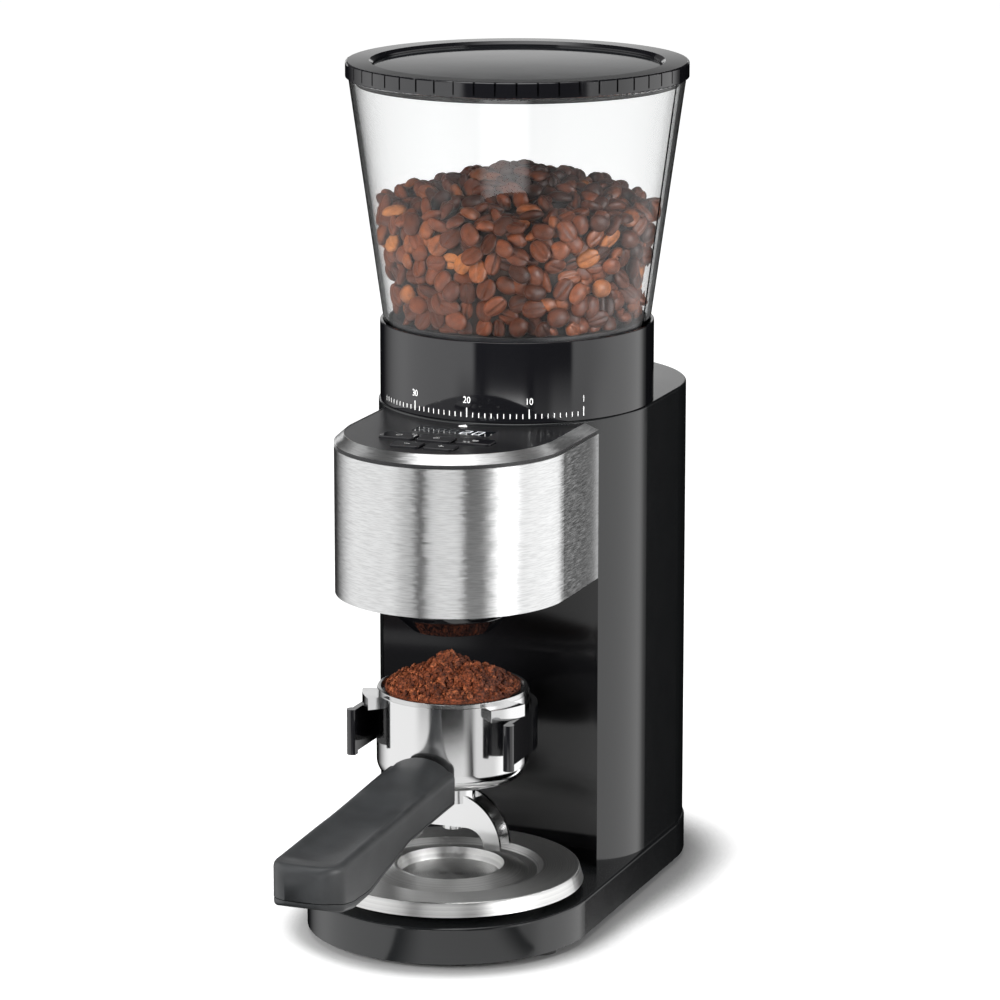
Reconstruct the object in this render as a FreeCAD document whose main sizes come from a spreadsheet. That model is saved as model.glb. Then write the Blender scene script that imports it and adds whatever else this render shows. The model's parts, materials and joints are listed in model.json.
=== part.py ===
import FreeCAD, Part
import math
import os
import re
import Sketcher

# Burr coffee grinder with a bean hopper, a grinding-scale collar, a control head, a fork
# that carries a portafilter, and a catch plate. Millimetres, +Z up, front towards -Y.
# The origin lies on the standing surface, in the middle of the bounding box.
# Heights are above the standing surface; "y" places are measured from the burr axis.

Vector = FreeCAD.Vector
UPRIGHT = Vector(0, 0, 1)

doc = FreeCAD.newDocument("BurrCoffeeGrinder")

DIMENSIONS = [
    ("axis_y", 72.5, "burr and hopper axis, behind the origin"),
    # base
    ("base_half", 67.0, "half width of the base, and the radius of its two ends"),
    ("base_front", -86.0, "centre of the base's front end"),
    ("base_back", 43.0, "centre of the base's back end"),
    ("foot_height", 3.0, "rubber feet"),
    ("foot_radius", 7.0, ""),
    ("foot_front_x", 53.0, ""),
    ("foot_front_y", -106.0, ""),
    ("foot_rear_x", 55.0, ""),
    ("foot_rear_y", 52.0, ""),
    ("base_top", 20.0, ""),
    ("base_wall", 2.5, ""),
    ("base_edge", 1.2, "rounding of the base's top edge"),
    ("bottom_plate_thick", 2.0, ""),
    ("seat_top", 25.9, "ring on the base that the catch plate rests on"),
    ("seat_outer", 40.5, ""),
    ("seat_inner", 29.0, ""),
    # catch plate
    ("plate_y", -85.9, ""),
    ("plate_top", 30.0, ""),
    ("plate_dish", 27.2, ""),
    ("plate_floor", 25.4, ""),
    ("plate_lip", 30.6, ""),
    ("plate_rim", 23.6, ""),
    ("plate_thick", 1.2, ""),
    ("plate_rim_radius", 62.0, ""),
    ("plate_top_radius", 60.1, ""),
    ("plate_dish_radius", 43.4, ""),
    ("plate_lip_radius", 25.8, ""),
    ("plate_slope", 10.0, "run of the slope outside the lip"),
    # column
    ("column_half", 65.5, "half width of the column, and the radius of its ends"),
    ("column_back", 45.0, "centre of the column's back end"),
    ("column_top", 229.6, ""),
    ("column_wall", 3.0, ""),
    ("cover_top", 236.6, ""),
    ("cover_bore", 57.5, ""),
    ("panel_centre", -137.0, "centre of the concave front panel's arc"),
    ("panel_radius", 115.0, ""),
    ("panel_thick", 2.5, ""),
    ("panel_top", 160.6, ""),
    ("gland_height", 42.0, ""),
    ("gland_radius", 6.0, ""),
    ("gland_flange", 8.5, ""),
    ("gland_bore", 3.6, "passage for the mains lead"),
    ("gland_front", 96.5, ""),
    ("gland_back", 112.5, ""),
    # head
    ("head_half", 54.5, "half width of the head, and the radius of its nose"),
    ("head_centre", -82.0, ""),
    ("head_root", -36.0, "where the head meets the column"),
    ("head_bottom", 160.8, ""),
    ("wrap_top", 229.6, ""),
    ("wrap_thick", 1.2, ""),
    ("head_wall", 2.5, ""),
    ("trim_bottom", 231.5, ""),
    ("trim_top", 235.5, ""),
    ("trim_inner", 50.0, "half width of the bevel trim's top edge"),
    ("collar_gap", 65.6, "radius of the head's rear edge around the collar"),
    ("control_bottom", 231.8, ""),
    ("control_top", 235.3, ""),
    ("button_top", 236.4, ""),
    ("button_long", 17.0, ""),
    ("button_deep", 9.6, ""),
    ("button_gap", 0.3, ""),
    ("button_corner", 1.6, ""),
    ("button_round", 0.4, ""),
    ("button_lip", 0.6, "flange that holds the button under the panel"),
    ("button_depth", 2.0, "cap below the panel's underside"),
    ("key_long", 14.4, ""),
    ("pointer_half", 2.1, ""),
    ("pointer_front", -69.6, ""),
    ("pointer_tip", -66.0, ""),
    ("lcd_y", -80.5, ""),
    ("lcd_long", 38.0, ""),
    ("lcd_deep", 12.0, ""),
    ("board_top", 223.6, ""),
    ("switch_top", 226.0, ""),
    ("button_stem_bottom", 227.0, ""),
    # outlet and chute
    ("outlet_y", -83.0, ""),
    ("outlet_bore", 17.5, ""),
    ("outlet_bottom", 143.7, ""),
    ("outlet_low_radius", 19.5, ""),
    ("outlet_wide_radius", 29.2, ""),
    ("outlet_shoulder", 152.5, ""),
    ("outlet_round", 5.0, ""),
    ("chute_top", 205.0, ""),
    ("chute_floor", 190.5, ""),
    ("chute_half", 14.0, ""),
    # gear train and motor
    ("gearbox_bottom", 164.0, ""),
    ("gearbox_top", 185.5, ""),
    ("gearbox_wall", 2.2, ""),
    ("cover_thick", 2.5, ""),
    ("motor_y", 58.0, ""),
    ("motor_radius", 32.0, ""),
    ("motor_bottom", 66.0, ""),
    ("motor_wall", 2.0, ""),
    ("can_end", 3.0, "end walls of the motor's can"),
    ("rotor_radius", 22.0, ""),
    ("rotor_bottom", 82.0, ""),
    ("rotor_top", 142.0, ""),
    ("motor_shaft_radius", 4.0, ""),
    ("fast_module", 1.25, "pinion and large idler gear"),
    ("slow_module", 1.5, "small idler gear and output gear"),
    ("pinion_teeth", 12, ""),
    ("idler_large_teeth", 48, ""),
    ("idler_small_teeth", 14, ""),
    ("output_teeth", 42, ""),
    ("fast_level", 167.0, ""),
    ("slow_level", 175.5, ""),
    ("gear_face", 8.0, ""),
    ("idler_axle_radius", 3.0, ""),
    ("drive_radius", 5.0, ""),
    ("drive_bottom", 164.5, ""),
    ("drive_top", 230.0, ""),
    ("running_gap", 0.05, "radial clearance of every turning fit"),
    ("power_half", 24.0, ""),
    ("power_back", -4.0, ""),
    ("power_bottom", 60.0, ""),
    ("power_top", 132.0, ""),
    # burrs
    ("chamber_radius", 44.0, ""),
    ("chamber_wall", 3.0, ""),
    ("chamber_floor", 188.0, ""),
    ("cone_bottom", 204.0, ""),
    ("cone_top", 226.0, ""),
    ("cone_low_radius", 24.0, ""),
    ("cone_high_radius", 12.0, ""),
    ("ring_bottom", 206.0, ""),
    ("ring_top", 220.0, ""),
    ("ring_radius", 32.0, ""),
    ("burr_gap", 1.0, ""),
    ("carrier_radius", 40.5, ""),
    ("carrier_sleeve", 36.0, ""),
    ("carrier_deck", 226.0, ""),
    ("carrier_top", 236.0, ""),
    ("adjuster_bottom", 229.9, ""),
    ("adjuster_top", 239.5, ""),
    ("adjuster_radius", 56.5, ""),
    ("dog_top", 243.5, "dogs that the collar turns"),
    ("dog_half", 3.0, ""),
    ("dog_x", 50.0, ""),
    # collar, hopper and lid
    ("collar_radius", 64.7, ""),
    ("collar_bottom", 236.9, ""),
    ("collar_top", 274.3, ""),
    ("collar_wall", 3.0, ""),
    ("web_bottom", 240.0, ""),
    ("web_top", 243.0, ""),
    ("web_bore", 40.0, ""),
    ("hopper_bottom", 262.0, ""),
    ("hopper_top", 389.0, ""),
    ("hopper_low_radius", 61.3, ""),
    ("hopper_high_radius", 79.0, ""),
    ("hopper_wall", 2.2, ""),
    ("floor_radius", 58.8, ""),
    ("floor_top", 275.5, ""),
    ("funnel_high", 272.0, ""),
    ("funnel_low", 250.5, ""),
    ("throat_radius", 20.0, ""),
    ("throat_bottom", 238.0, ""),
    ("lid_bottom", 389.3, ""),
    ("lid_top", 396.4, ""),
    ("lid_radius", 80.35, ""),
    ("lid_recess", 67.4, ""),
    ("lid_recess_floor", 391.8, ""),
    ("lid_panel_top", 394.2, ""),
    ("lid_skirt", 75.2, ""),
    ("lid_skirt_bottom", 386.2, ""),
    ("groove_width", 0.9, "grooves between the lid's grip ribs"),
    ("groove_depth", 0.8, ""),
    ("bean_level", 330.0, "beans against the hopper's wall"),
    ("bean_top", 350.5, "top of the bean heap"),
    # portafilter
    ("filter_y", -82.7, ""),
    ("cup_radius", 35.5, ""),
    ("cup_wall", 2.5, ""),
    ("cup_bottom", 72.5, ""),
    ("cup_round", 9.0, ""),
    ("cup_top", 113.4, ""),
    ("basket_top", 115.7, ""),
    ("basket_flange", 35.0, ""),
    ("basket_radius", 30.0, ""),
    ("basket_bottom", 88.0, ""),
    ("basket_wall", 0.5, ""),
    ("lug_radius", 42.0, ""),
    ("lug_height", 5.6, ""),
    ("lug_angle", 27.0, ""),
    ("heap_top", 131.8, "coffee grounds"),
    ("spout_centre", 40.0, ""),
    ("spout_outer", 26.0, ""),
    ("spout_inner", 18.0, "half width of the opening under the spout"),
    ("spout_under", 49.5, "height of that opening"),
    ("spout_corner", 9.0, ""),
    ("spout_floor", 2.2, ""),
    ("spout_width", 14.0, ""),
    ("spout_wall", 2.0, ""),
    ("spout_hub", 10.5, ""),
    ("spout_hub_bottom", 61.0, ""),
    ("spout_drop", 47.2, "underside of the boss in the middle"),
    ("spout_drop_radius", 5.0, ""),
    ("coffee_bore", 3.5, ""),
    ("handle_near", -121.5, ""),
    ("handle_far", -257.5, ""),
    ("handle_near_top", 87.0, ""),
    ("handle_near_bottom", 73.5, ""),
    ("handle_far_top", 80.0, ""),
    ("handle_far_bottom", 59.5, ""),
    ("handle_width", 33.0, ""),
    ("handle_end_round", 5.0, ""),
    ("handle_edge_round", 3.0, ""),
    ("thumb_radius", 42.0, "hollow along the handle's top"),
    ("thumb_depth", 1.8, ""),
    ("seam_gap", 0.4, "seam between the handle and its inlay"),
    ("inlay_depth", 4.0, "inlay at the handle's far end"),
    ("stud_radius", 4.0, ""),
    ("stud_boss", 6.8, ""),
    ("stud_end", -140.0, ""),
    ("stud_height", 79.5, ""),
    # fork
    ("fork_inner", 36.6, ""),
    ("fork_wall", 2.8, ""),
    ("fork_bottom", 87.5, ""),
    ("fork_top", 107.6, ""),
    ("fork_front", -111.0, ""),
    ("fork_bead", 2.6, ""),
    ("fork_bead_drop", 1.5, ""),
    ("fork_neck_half", 16.0, ""),
    ("fork_neck_top", 104.0, ""),
]

LID_GROOVES = 52
CONE_GROOVES = 16
LUG_BEARINGS = (-90 - 60, -90 + 60, 90)
BACKLASH = 0.16
PRESSURE_ANGLE = math.radians(20)


# ---------------------------------------------------------------- sheet and helpers

def make_sheet():
    """Write every driving dimension into the spreadsheet, with its alias and a note."""
    table = doc.addObject("Spreadsheet::Sheet", "Dim")
    for row, (alias, number, note) in enumerate(DIMENSIONS, start=1):
        table.set("A%d" % row, alias)
        table.set("B%d" % row, str(number))
        table.set("C%d" % row, note)
        table.setAlias("B%d" % row, alias)
    doc.recompute()
    return table


sheet = make_sheet()
finished = {}


def bound(text):
    """Turn 'base_top - base_wall' into an expression on the sheet's cells."""
    return re.sub(r"[a-z_]+", lambda word: "Dim." + word.group(0), str(text))


def number(text):
    """The present value of such an expression."""
    return float(sheet.evalExpression(bound(text)))


def bind(thing, **sizes):
    """Bind properties of a document object to expressions on the sheet."""
    for name, text in sizes.items():
        thing.setExpression(name, bound(text))
    return thing


def place(thing, x=0, y=0, z=0):
    """Bind a Placement. y is measured from the burr axis."""
    thing.setExpression("Placement.Base.x", bound(x))
    thing.setExpression("Placement.Base.y", bound("axis_y + (%s)" % y))
    thing.setExpression("Placement.Base.z", bound(z))
    return thing


def keep(node, thing):
    """Register a finished sub-part under its node name."""
    thing.Label = node
    finished[node] = thing
    return thing


def block(name, half_x, y_low, y_high, bottom, top, x=0):
    """A box, centred on x, between two y places and two heights."""
    box = doc.addObject("Part::Box", name)
    bind(box, Length="2 * (%s)" % half_x, Width="(%s) - (%s)" % (y_high, y_low),
         Height="(%s) - (%s)" % (top, bottom))
    return place(box, "(%s) - (%s)" % (x, half_x), y_low, bottom)


def rod(name, radius, bottom, top, x=0, y=0):
    """An upright cylinder."""
    cylinder = doc.addObject("Part::Cylinder", name)
    bind(cylinder, Radius=radius, Height="(%s) - (%s)" % (top, bottom))
    return place(cylinder, x, y, bottom)


def lying_rod(name, radius, y_low, y_high, height):
    """A cylinder that lies along Y."""
    cylinder = doc.addObject("Part::Cylinder", name)
    cylinder.Placement.Rotation = FreeCAD.Rotation(Vector(1, 0, 0), -90)
    bind(cylinder, Radius=radius, Height="(%s) - (%s)" % (y_high, y_low))
    return place(cylinder, 0, y_low, height)


def fuse(name, pieces):
    joined = doc.addObject("Part::MultiFuse", name)
    joined.Shapes = pieces
    joined.Refine = True
    return joined


def cut(name, base, tools):
    """Subtract one tool or several."""
    tool = tools[0] if len(tools) == 1 else fuse(name + "_tools", tools)
    remainder = doc.addObject("Part::Cut", name)
    remainder.Base = base
    remainder.Tool = tool
    remainder.Refine = True
    return remainder


def common(name, pieces):
    shared = doc.addObject("Part::MultiCommon", name)
    shared.Shapes = pieces
    shared.Refine = True
    return shared


def stadium(name, half, front, back, bottom, top):
    """A plan with two round ends of radius half, centred at y = front and y = back."""
    middle = block(name + "_middle", half, front, back, bottom, top)
    front_end = rod(name + "_front", half, bottom, top, y=front)
    back_end = rod(name + "_back", half, bottom, top, y=back)
    return fuse(name, [middle, front_end, back_end])


def nose(name, half, back, bottom, top):
    """The head's plan: a half round nose with straight sides that run back to y = back."""
    sides = block(name + "_sides", half, "head_centre", back, bottom, top)
    front = rod(name + "_front", half, bottom, top, y="head_centre")
    front.Placement.Rotation = FreeCAD.Rotation(UPRIGHT, 180)
    front.Angle = 180
    return fuse(name, [sides, front])


def round_edges(name, base, radius, wanted):
    """Round the edges of a Part solid that the test picks out."""
    doc.recompute()
    size = number(radius)
    rounded = doc.addObject("Part::Fillet", name)
    rounded.Base = base
    chosen = [(index, size, size) for index, edge in enumerate(base.Shape.Edges, start=1) if wanted(edge)]
    rounded.Edges = chosen
    return rounded


def level_edge(edge, height):
    """True for an edge that lies wholly at one height."""
    box = edge.BoundBox
    return abs(box.ZMin - height) < 0.001 and abs(box.ZMax - height) < 0.001


def origin_plane(body, role):
    """One of a body's own origin planes."""
    for feature in body.Origin.OriginFeatures:
        if feature.Role == role:
            return feature
    raise ValueError(role)


def closed_sketch(body, name, role, corners):
    """A closed polygon whose corners are expressions on the sheet."""
    sketch = body.newObject("Sketcher::SketchObject", name)
    sketch.AttachmentSupport = (origin_plane(body, role), [""])
    sketch.MapMode = "FlatFace"
    points = [Vector(number(u), number(v), 0) for u, v in corners]
    count = len(points)
    for index, start in enumerate(points):
        sketch.addGeometry(Part.LineSegment(start, points[(index + 1) % count]), False)
    for index in range(count):
        following = (index + 1) % count
        sketch.addConstraint(Sketcher.Constraint("Coincident", index, 2, following, 1))
    for index, ((u, v), point) in enumerate(zip(corners, points)):
        pin_coordinate(sketch, "DistanceX", index, point.x, u, -2)
        pin_coordinate(sketch, "DistanceY", index, point.y, v, -1)
    return sketch


def pin_coordinate(sketch, kind, line, size, text, axis):
    """Hold one coordinate of a line's start, on the axis or at an expression's value."""
    if abs(size) < 1e-9:
        sketch.addConstraint(Sketcher.Constraint("PointOnObject", line, 1, axis))
        return
    added = sketch.addConstraint(Sketcher.Constraint(kind, -1, 1, line, 1, size))
    sketch.setExpression("Constraints[%d]" % added, bound(text))


def turned(name, profile, x=0, y=0):
    """A turned piece: a closed (radius, height) profile revolved about an upright axis."""
    body = doc.addObject("PartDesign::Body", name)
    sketch = closed_sketch(body, name + "_profile", "XZ_Plane", profile)
    revolution = body.newObject("PartDesign::Revolution", name + "_turn")
    revolution.Profile = sketch
    revolution.ReferenceAxis = (sketch, ["V_Axis"])
    revolution.Angle = 360
    body.Tip = revolution
    return place(body, x, y)


def round_turned(body, radius, wanted):
    """Round the edges of a PartDesign body that the test picks out."""
    doc.recompute()
    base = body.Tip
    names = ["Edge%d" % index for index, edge in enumerate(base.Shape.Edges, start=1) if wanted(edge)]
    rounded = body.newObject("PartDesign::Fillet", body.Name + "_round")
    rounded.Base = (base, names)
    bind(rounded, Radius=radius)
    body.Tip = rounded
    return rounded


def circle_at(edge, radius, height):
    """True for a full circle of the given radius at the given height."""
    if not isinstance(edge.Curve, Part.Circle) or not level_edge(edge, height):
        return False
    return abs(edge.Curve.Radius - radius) < 0.01


def padded(name, corners, bottom, top):
    """A prism that stands on an XY outline."""
    body = doc.addObject("PartDesign::Body", name)
    sketch = closed_sketch(body, name + "_outline", "XY_Plane", corners)
    pad = body.newObject("PartDesign::Pad", name + "_pad")
    pad.Profile = sketch
    bind(pad, Length="(%s) - (%s)" % (top, bottom))
    body.Tip = pad
    return place(body, 0, 0, bottom)


# ---------------------------------------------------------------- base and catch plate

def make_base():
    outer = stadium("base_outer", "base_half", "base_front", "base_back", "foot_height", "base_top")
    softened = round_edges("base_softened", outer, "base_edge",
                           lambda edge: level_edge(edge, number("base_top")))
    cavity = stadium("base_cavity", "base_half - base_wall", "base_front", "base_back",
                     "foot_height", "base_top - base_wall")
    shell = cut("base_shell", softened, [cavity])
    deck = "base_top - base_wall"
    seat = cut("plate_seat", rod("plate_seat_outer", "seat_outer", deck, "seat_top", y="plate_y"),
               [rod("plate_seat_inner", "seat_inner", deck, "seat_top", y="plate_y")])
    keep("base_housing", fuse("BaseHousing", [shell, seat]))
    keep("bottom_plate", stadium("BottomPlate", "base_half - base_wall", "base_front", "base_back",
                                 "foot_height", "foot_height + bottom_plate_thick"))


def make_feet():
    places = {
        "foot_front_left": ("-foot_front_x", "foot_front_y"),
        "foot_front_right": ("foot_front_x", "foot_front_y"),
        "foot_rear_left": ("-foot_rear_x", "foot_rear_y"),
        "foot_rear_right": ("foot_rear_x", "foot_rear_y"),
    }
    for node, (x, y) in places.items():
        keep(node, rod(node.title().replace("_", ""), "foot_radius", 0, "foot_height", x, y))


def make_catch_plate():
    """A pressed dish with a flat rim, a raised lip and a low centre."""
    profile = [
        (0, "plate_floor"),
        ("plate_lip_radius - 2.4", "plate_floor"),
        ("plate_lip_radius - 0.8", "plate_lip"),
        ("plate_lip_radius + 0.6", "plate_lip"),
        ("plate_lip_radius + plate_slope", "plate_dish"),
        ("plate_dish_radius - 3", "plate_dish"),
        ("plate_dish_radius", "plate_top"),
        ("plate_top_radius", "plate_top"),
        ("plate_rim_radius", "plate_rim"),
        ("plate_rim_radius - plate_thick", "plate_rim"),
        ("plate_top_radius - plate_thick", "plate_top - plate_thick"),
        ("plate_dish_radius + plate_thick", "plate_top - plate_thick"),
        ("plate_dish_radius - 2", "plate_dish - plate_thick"),
        ("plate_lip_radius + plate_slope", "plate_dish - plate_thick"),
        ("plate_lip_radius + 0.3", "plate_lip - plate_thick"),
        ("plate_lip_radius - 0.6", "plate_lip - plate_thick"),
        ("plate_lip_radius - 1.6", "plate_floor - plate_thick"),
        (0, "plate_floor - plate_thick"),
    ]
    plate = turned("CatchPlate", profile, y="plate_y")
    corners = [("plate_top_radius", "plate_top"), ("plate_dish_radius", "plate_top")]
    round_turned(plate, 0.6, lambda edge: any(circle_at(edge, number(r), number(z)) for r, z in corners))
    keep("catch_plate", plate)


# ---------------------------------------------------------------- column

def make_column():
    outer = stadium("column_outer", "column_half", 0, "column_back", "base_top", "column_top")
    inner = stadium("column_inner", "column_half - column_wall", 0, "column_back", "base_top", "column_top")
    front_window = block("column_window", "head_half", -80, -20, "base_top", "column_top")
    gland_hole = lying_rod("gland_hole", "gland_radius", "gland_front", "gland_back", "gland_height")
    keep("body_shell", cut("BodyShell", outer, [inner, front_window, gland_hole]))

    near = rod("panel_face", "panel_radius", "base_top", "panel_top", y="panel_centre")
    far = rod("panel_back", "panel_radius + panel_thick", "base_top", "panel_top", y="panel_centre")
    window = block("panel_window", "head_half - 0.1", -60, 0, "base_top", "panel_top")
    keep("front_panel", cut("FrontPanel", common("panel_disc", [far, window]), [near]))


def make_top_cover():
    slab = stadium("cover_slab", "column_half", 0, "column_back", "column_top", "cover_top")
    softened = round_edges("cover_softened", slab, 1.0, lambda edge: level_edge(edge, number("cover_top")))
    bore = rod("cover_hole", "cover_bore", "column_top", "cover_top")
    keep("top_cover", cut("TopCover", softened, [bore]))


def make_cord_gland():
    """A strain relief bush at the back; the lead itself is not part of the model."""
    sleeve = lying_rod("gland_sleeve", "gland_radius", "gland_front", "gland_back - 0.5", "gland_height")
    flange = lying_rod("gland_collar", "gland_flange", "gland_back - 1.6", "gland_back", "gland_height")
    bore = lying_rod("gland_passage", "gland_bore", "gland_front", "gland_back", "gland_height")
    keep("cord_gland", cut("CordGland", fuse("gland_body", [sleeve, flange]), [bore]))


# ---------------------------------------------------------------- head

def collar_clearance(name):
    """The round space that the collar and the column's cover leave in the head's top."""
    return rod(name, "collar_gap", "column_top - 0.3", "button_top + 1")


def make_head():
    inner_half = "head_half - wrap_thick"
    outer = nose("housing_outer", inner_half, -30, "head_bottom + 0.2", "trim_bottom")
    inner = nose("housing_inner", inner_half + " - head_wall", -30,
                 "head_bottom + 0.2 + head_wall", "trim_bottom")
    outlet = rod("housing_outlet", "outlet_bore + 2.5", "head_bottom", "head_bottom + 5", y="outlet_y")
    keep("head_housing", cut("HeadHousing", outer, [inner, outlet, collar_clearance("housing_collar")]))

    sheet_outer = nose("wrap_outer", "head_half", "head_root", "head_bottom", "wrap_top")
    sheet_inner = nose("wrap_inner", inner_half, "head_root", "head_bottom", "wrap_top")
    keep("steel_wrap", cut("SteelWrap", sheet_outer, [sheet_inner]))


def make_bevel_trim():
    """A sloping frame around the control panel."""
    front = doc.addObject("Part::Cone", "trim_front")
    front.Placement.Rotation = FreeCAD.Rotation(UPRIGHT, 180)
    front.Angle = 180
    bind(front, Radius1="head_half", Radius2="trim_inner", Height="trim_top - trim_bottom")
    place(front, 0, "head_centre", "trim_bottom")
    sides = doc.addObject("PartDesign::Body", "trim_sides")
    section = [
        ("-head_half", "trim_bottom"),
        ("head_half", "trim_bottom"),
        ("trim_inner", "trim_top"),
        ("-trim_inner", "trim_top"),
    ]
    sketch = closed_sketch(sides, "trim_section", "XZ_Plane", section)
    pad = sides.newObject("PartDesign::Pad", "trim_pad")
    pad.Profile = sketch
    bind(pad, Length="head_root - head_centre")
    sides.Tip = pad
    place(sides, 0, "head_root")
    middle = nose("trim_opening", "trim_inner - 0.2", "head_root", "trim_bottom", "trim_top")
    frame = fuse("trim_frame", [front, sides])
    keep("bevel_trim", cut("BevelTrim", frame, [middle, collar_clearance("trim_collar")]))


# Button places on the control panel: (node, x, y, length).
BUTTONS = [
    ("button_left", -18.6, -101.0, "button_long"),
    ("button_centre", 0.0, -101.8, "button_long"),
    ("button_right", 18.6, -101.0, "button_long"),
    ("button_minus", -8.2, -117.0, "key_long"),
    ("button_plus", 8.2, -117.0, "key_long"),
]


def upright_edge(edge):
    box = edge.BoundBox
    return box.XLength < 0.001 and box.YLength < 0.001


def rounded_block(name, half_x, half_y, bottom, top, x, y, radius):
    """A box with rounded upright edges."""
    front = "%s - (%s)" % (y, half_y)
    back = "%s + (%s)" % (y, half_y)
    plain = block(name + "_block", half_x, front, back, bottom, top, x)
    return round_edges(name, plain, radius, upright_edge)


def make_buttons():
    """Each button is a cap, a retaining flange below the panel and a stem over its switch."""
    for node, x, y, length in BUTTONS:
        low = "control_bottom - button_depth"
        cap = rounded_block(node + "_cap", length + " / 2", "button_deep / 2", low, "button_top", x, y,
                            "button_corner")
        reach = "(button_deep / 2 + button_lip)"
        flange = block(node + "_flange", length + " / 2 + button_lip", "%s - %s" % (y, reach),
                       "%s + %s" % (y, reach), low, "control_bottom - 0.5", x)
        stem = rod(node + "_stem", 2, "button_stem_bottom", "control_bottom - 1", x, y)
        button = fuse(node + "_whole", [cap, flange, stem])
        doc.recompute()
        top = number("button_top")
        title = node.title().replace("_", "")
        keep(node, round_edges(title, button, "button_round", lambda edge: level_edge(edge, top)))


def make_control_panel():
    slab = nose("control_slab", "trim_inner - 0.25", "head_root", "control_bottom", "control_top")
    holes = [collar_clearance("control_collar")]
    for node, x, y, length in BUTTONS:
        half_x = length + " / 2 + button_gap"
        holes.append(rounded_block(node + "_hole", half_x, "button_deep / 2 + button_gap",
                                   "control_bottom", "control_top", x, y, "button_corner + button_gap"))
    holes.append(block("lcd_hole", "lcd_long / 2", "lcd_y - lcd_deep / 2", "lcd_y + lcd_deep / 2",
                       "control_bottom", "control_top"))
    keep("control_panel", cut("ControlPanel", slab, holes))
    keep("lcd_window", block("LcdWindow", "lcd_long / 2", "lcd_y - lcd_deep / 2", "lcd_y + lcd_deep / 2",
                             "control_bottom + 1.5", "control_top - 0.1"))
    keep("lcd_module", block("LcdModule", "lcd_long / 2 + 2", "lcd_y - lcd_deep / 2 - 2",
                             "lcd_y + lcd_deep / 2 + 2", "control_bottom - 5", "control_bottom"))


def make_control_board():
    board = nose("board_sheet", "trim_inner - 2", -60, "board_top - 1.6", "board_top")
    switches = [rod(node + "_switch", 3, "board_top", "switch_top", x, y) for node, x, y, length in BUTTONS]
    keep("control_board", fuse("ControlBoard", [board] + switches))


def make_pointer():
    """A small white triangle in front of the scale."""
    corners = [("-pointer_half", "pointer_front"), ("pointer_half", "pointer_front"), (0, "pointer_tip")]
    keep("setting_pointer", padded("SettingPointer", corners, "control_top", "control_top + 0.3"))


# ---------------------------------------------------------------- outlet and burr chamber

def make_outlet():
    profile = [
        ("outlet_bore", "outlet_bottom"),
        ("outlet_low_radius", "outlet_bottom"),
        ("outlet_wide_radius", "outlet_shoulder"),
        ("outlet_wide_radius + 0.6", "head_bottom + 0.2"),
        ("outlet_bore", "head_bottom + 0.2"),
    ]
    funnel = turned("OutletFunnel", profile, y="outlet_y")
    wide, shoulder = number("outlet_wide_radius"), number("outlet_shoulder")
    round_turned(funnel, "outlet_round", lambda edge: circle_at(edge, wide, shoulder))
    keep("outlet_funnel", funnel)


def make_chute():
    """A drop tube over the outlet and a duct from the burr chamber's side."""
    drop = rod("chute_drop", "outlet_bore + 2.5", "head_bottom + 0.2", "chute_top", y="outlet_y")
    duct = block("chute_duct", "chute_half + 2", "outlet_y", "-chamber_radius + 2",
                 "chute_floor - 2", "chute_top")
    bore = rod("chute_bore", "outlet_bore", "head_bottom", "chute_top - 2", y="outlet_y")
    channel = block("chute_channel", "chute_half", "outlet_y", "-chamber_radius + 6",
                    "chute_floor", "chute_top - 2")
    chamber = rod("chute_chamber", "chamber_radius", "chute_floor - 3", "chute_top + 1")
    keep("grounds_chute", cut("GroundsChute", fuse("chute_body", [drop, duct]), [bore, channel, chamber]))


def make_burr_chamber():
    outer = rod("chamber_outer", "chamber_radius", "chamber_floor", "column_top")
    inner = rod("chamber_inner", "chamber_radius - chamber_wall", "chute_floor", "column_top")
    shaft_hole = rod("chamber_bearing_hole", 11, "chamber_floor", "chute_floor")
    exit_hole = block("chamber_exit", "chute_half", "-chamber_radius - 1", "-chamber_radius + 8",
                      "chute_floor", "chute_top - 2")
    keep("burr_chamber", cut("BurrChamber", outer, [inner, shaft_hole, exit_hole]))


# ---------------------------------------------------------------- motor and gear train

def pitch_radius(module, teeth):
    return number("%s * %s / 2" % (module, teeth))


def idler_place():
    """The idler's centre, which meshes with the pinion and with the output gear."""
    near = pitch_radius("fast_module", "pinion_teeth") + pitch_radius("fast_module", "idler_large_teeth")
    far = pitch_radius("slow_module", "idler_small_teeth") + pitch_radius("slow_module", "output_teeth")
    span = number("motor_y")
    along = (span ** 2 + far ** 2 - near ** 2) / (2 * span)
    return math.sqrt(far ** 2 - along ** 2), along


def involute_half_angle(radius, pitch, base, teeth, module):
    """Half the angle that a tooth fills at a radius."""
    def roll(reach):
        pressure = math.acos(min(1.0, base / reach))
        return math.tan(pressure) - pressure
    at_pitch = (math.pi * module / 2 - BACKLASH) / (2 * pitch)
    return at_pitch + roll(pitch) - roll(max(radius, base))


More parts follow.
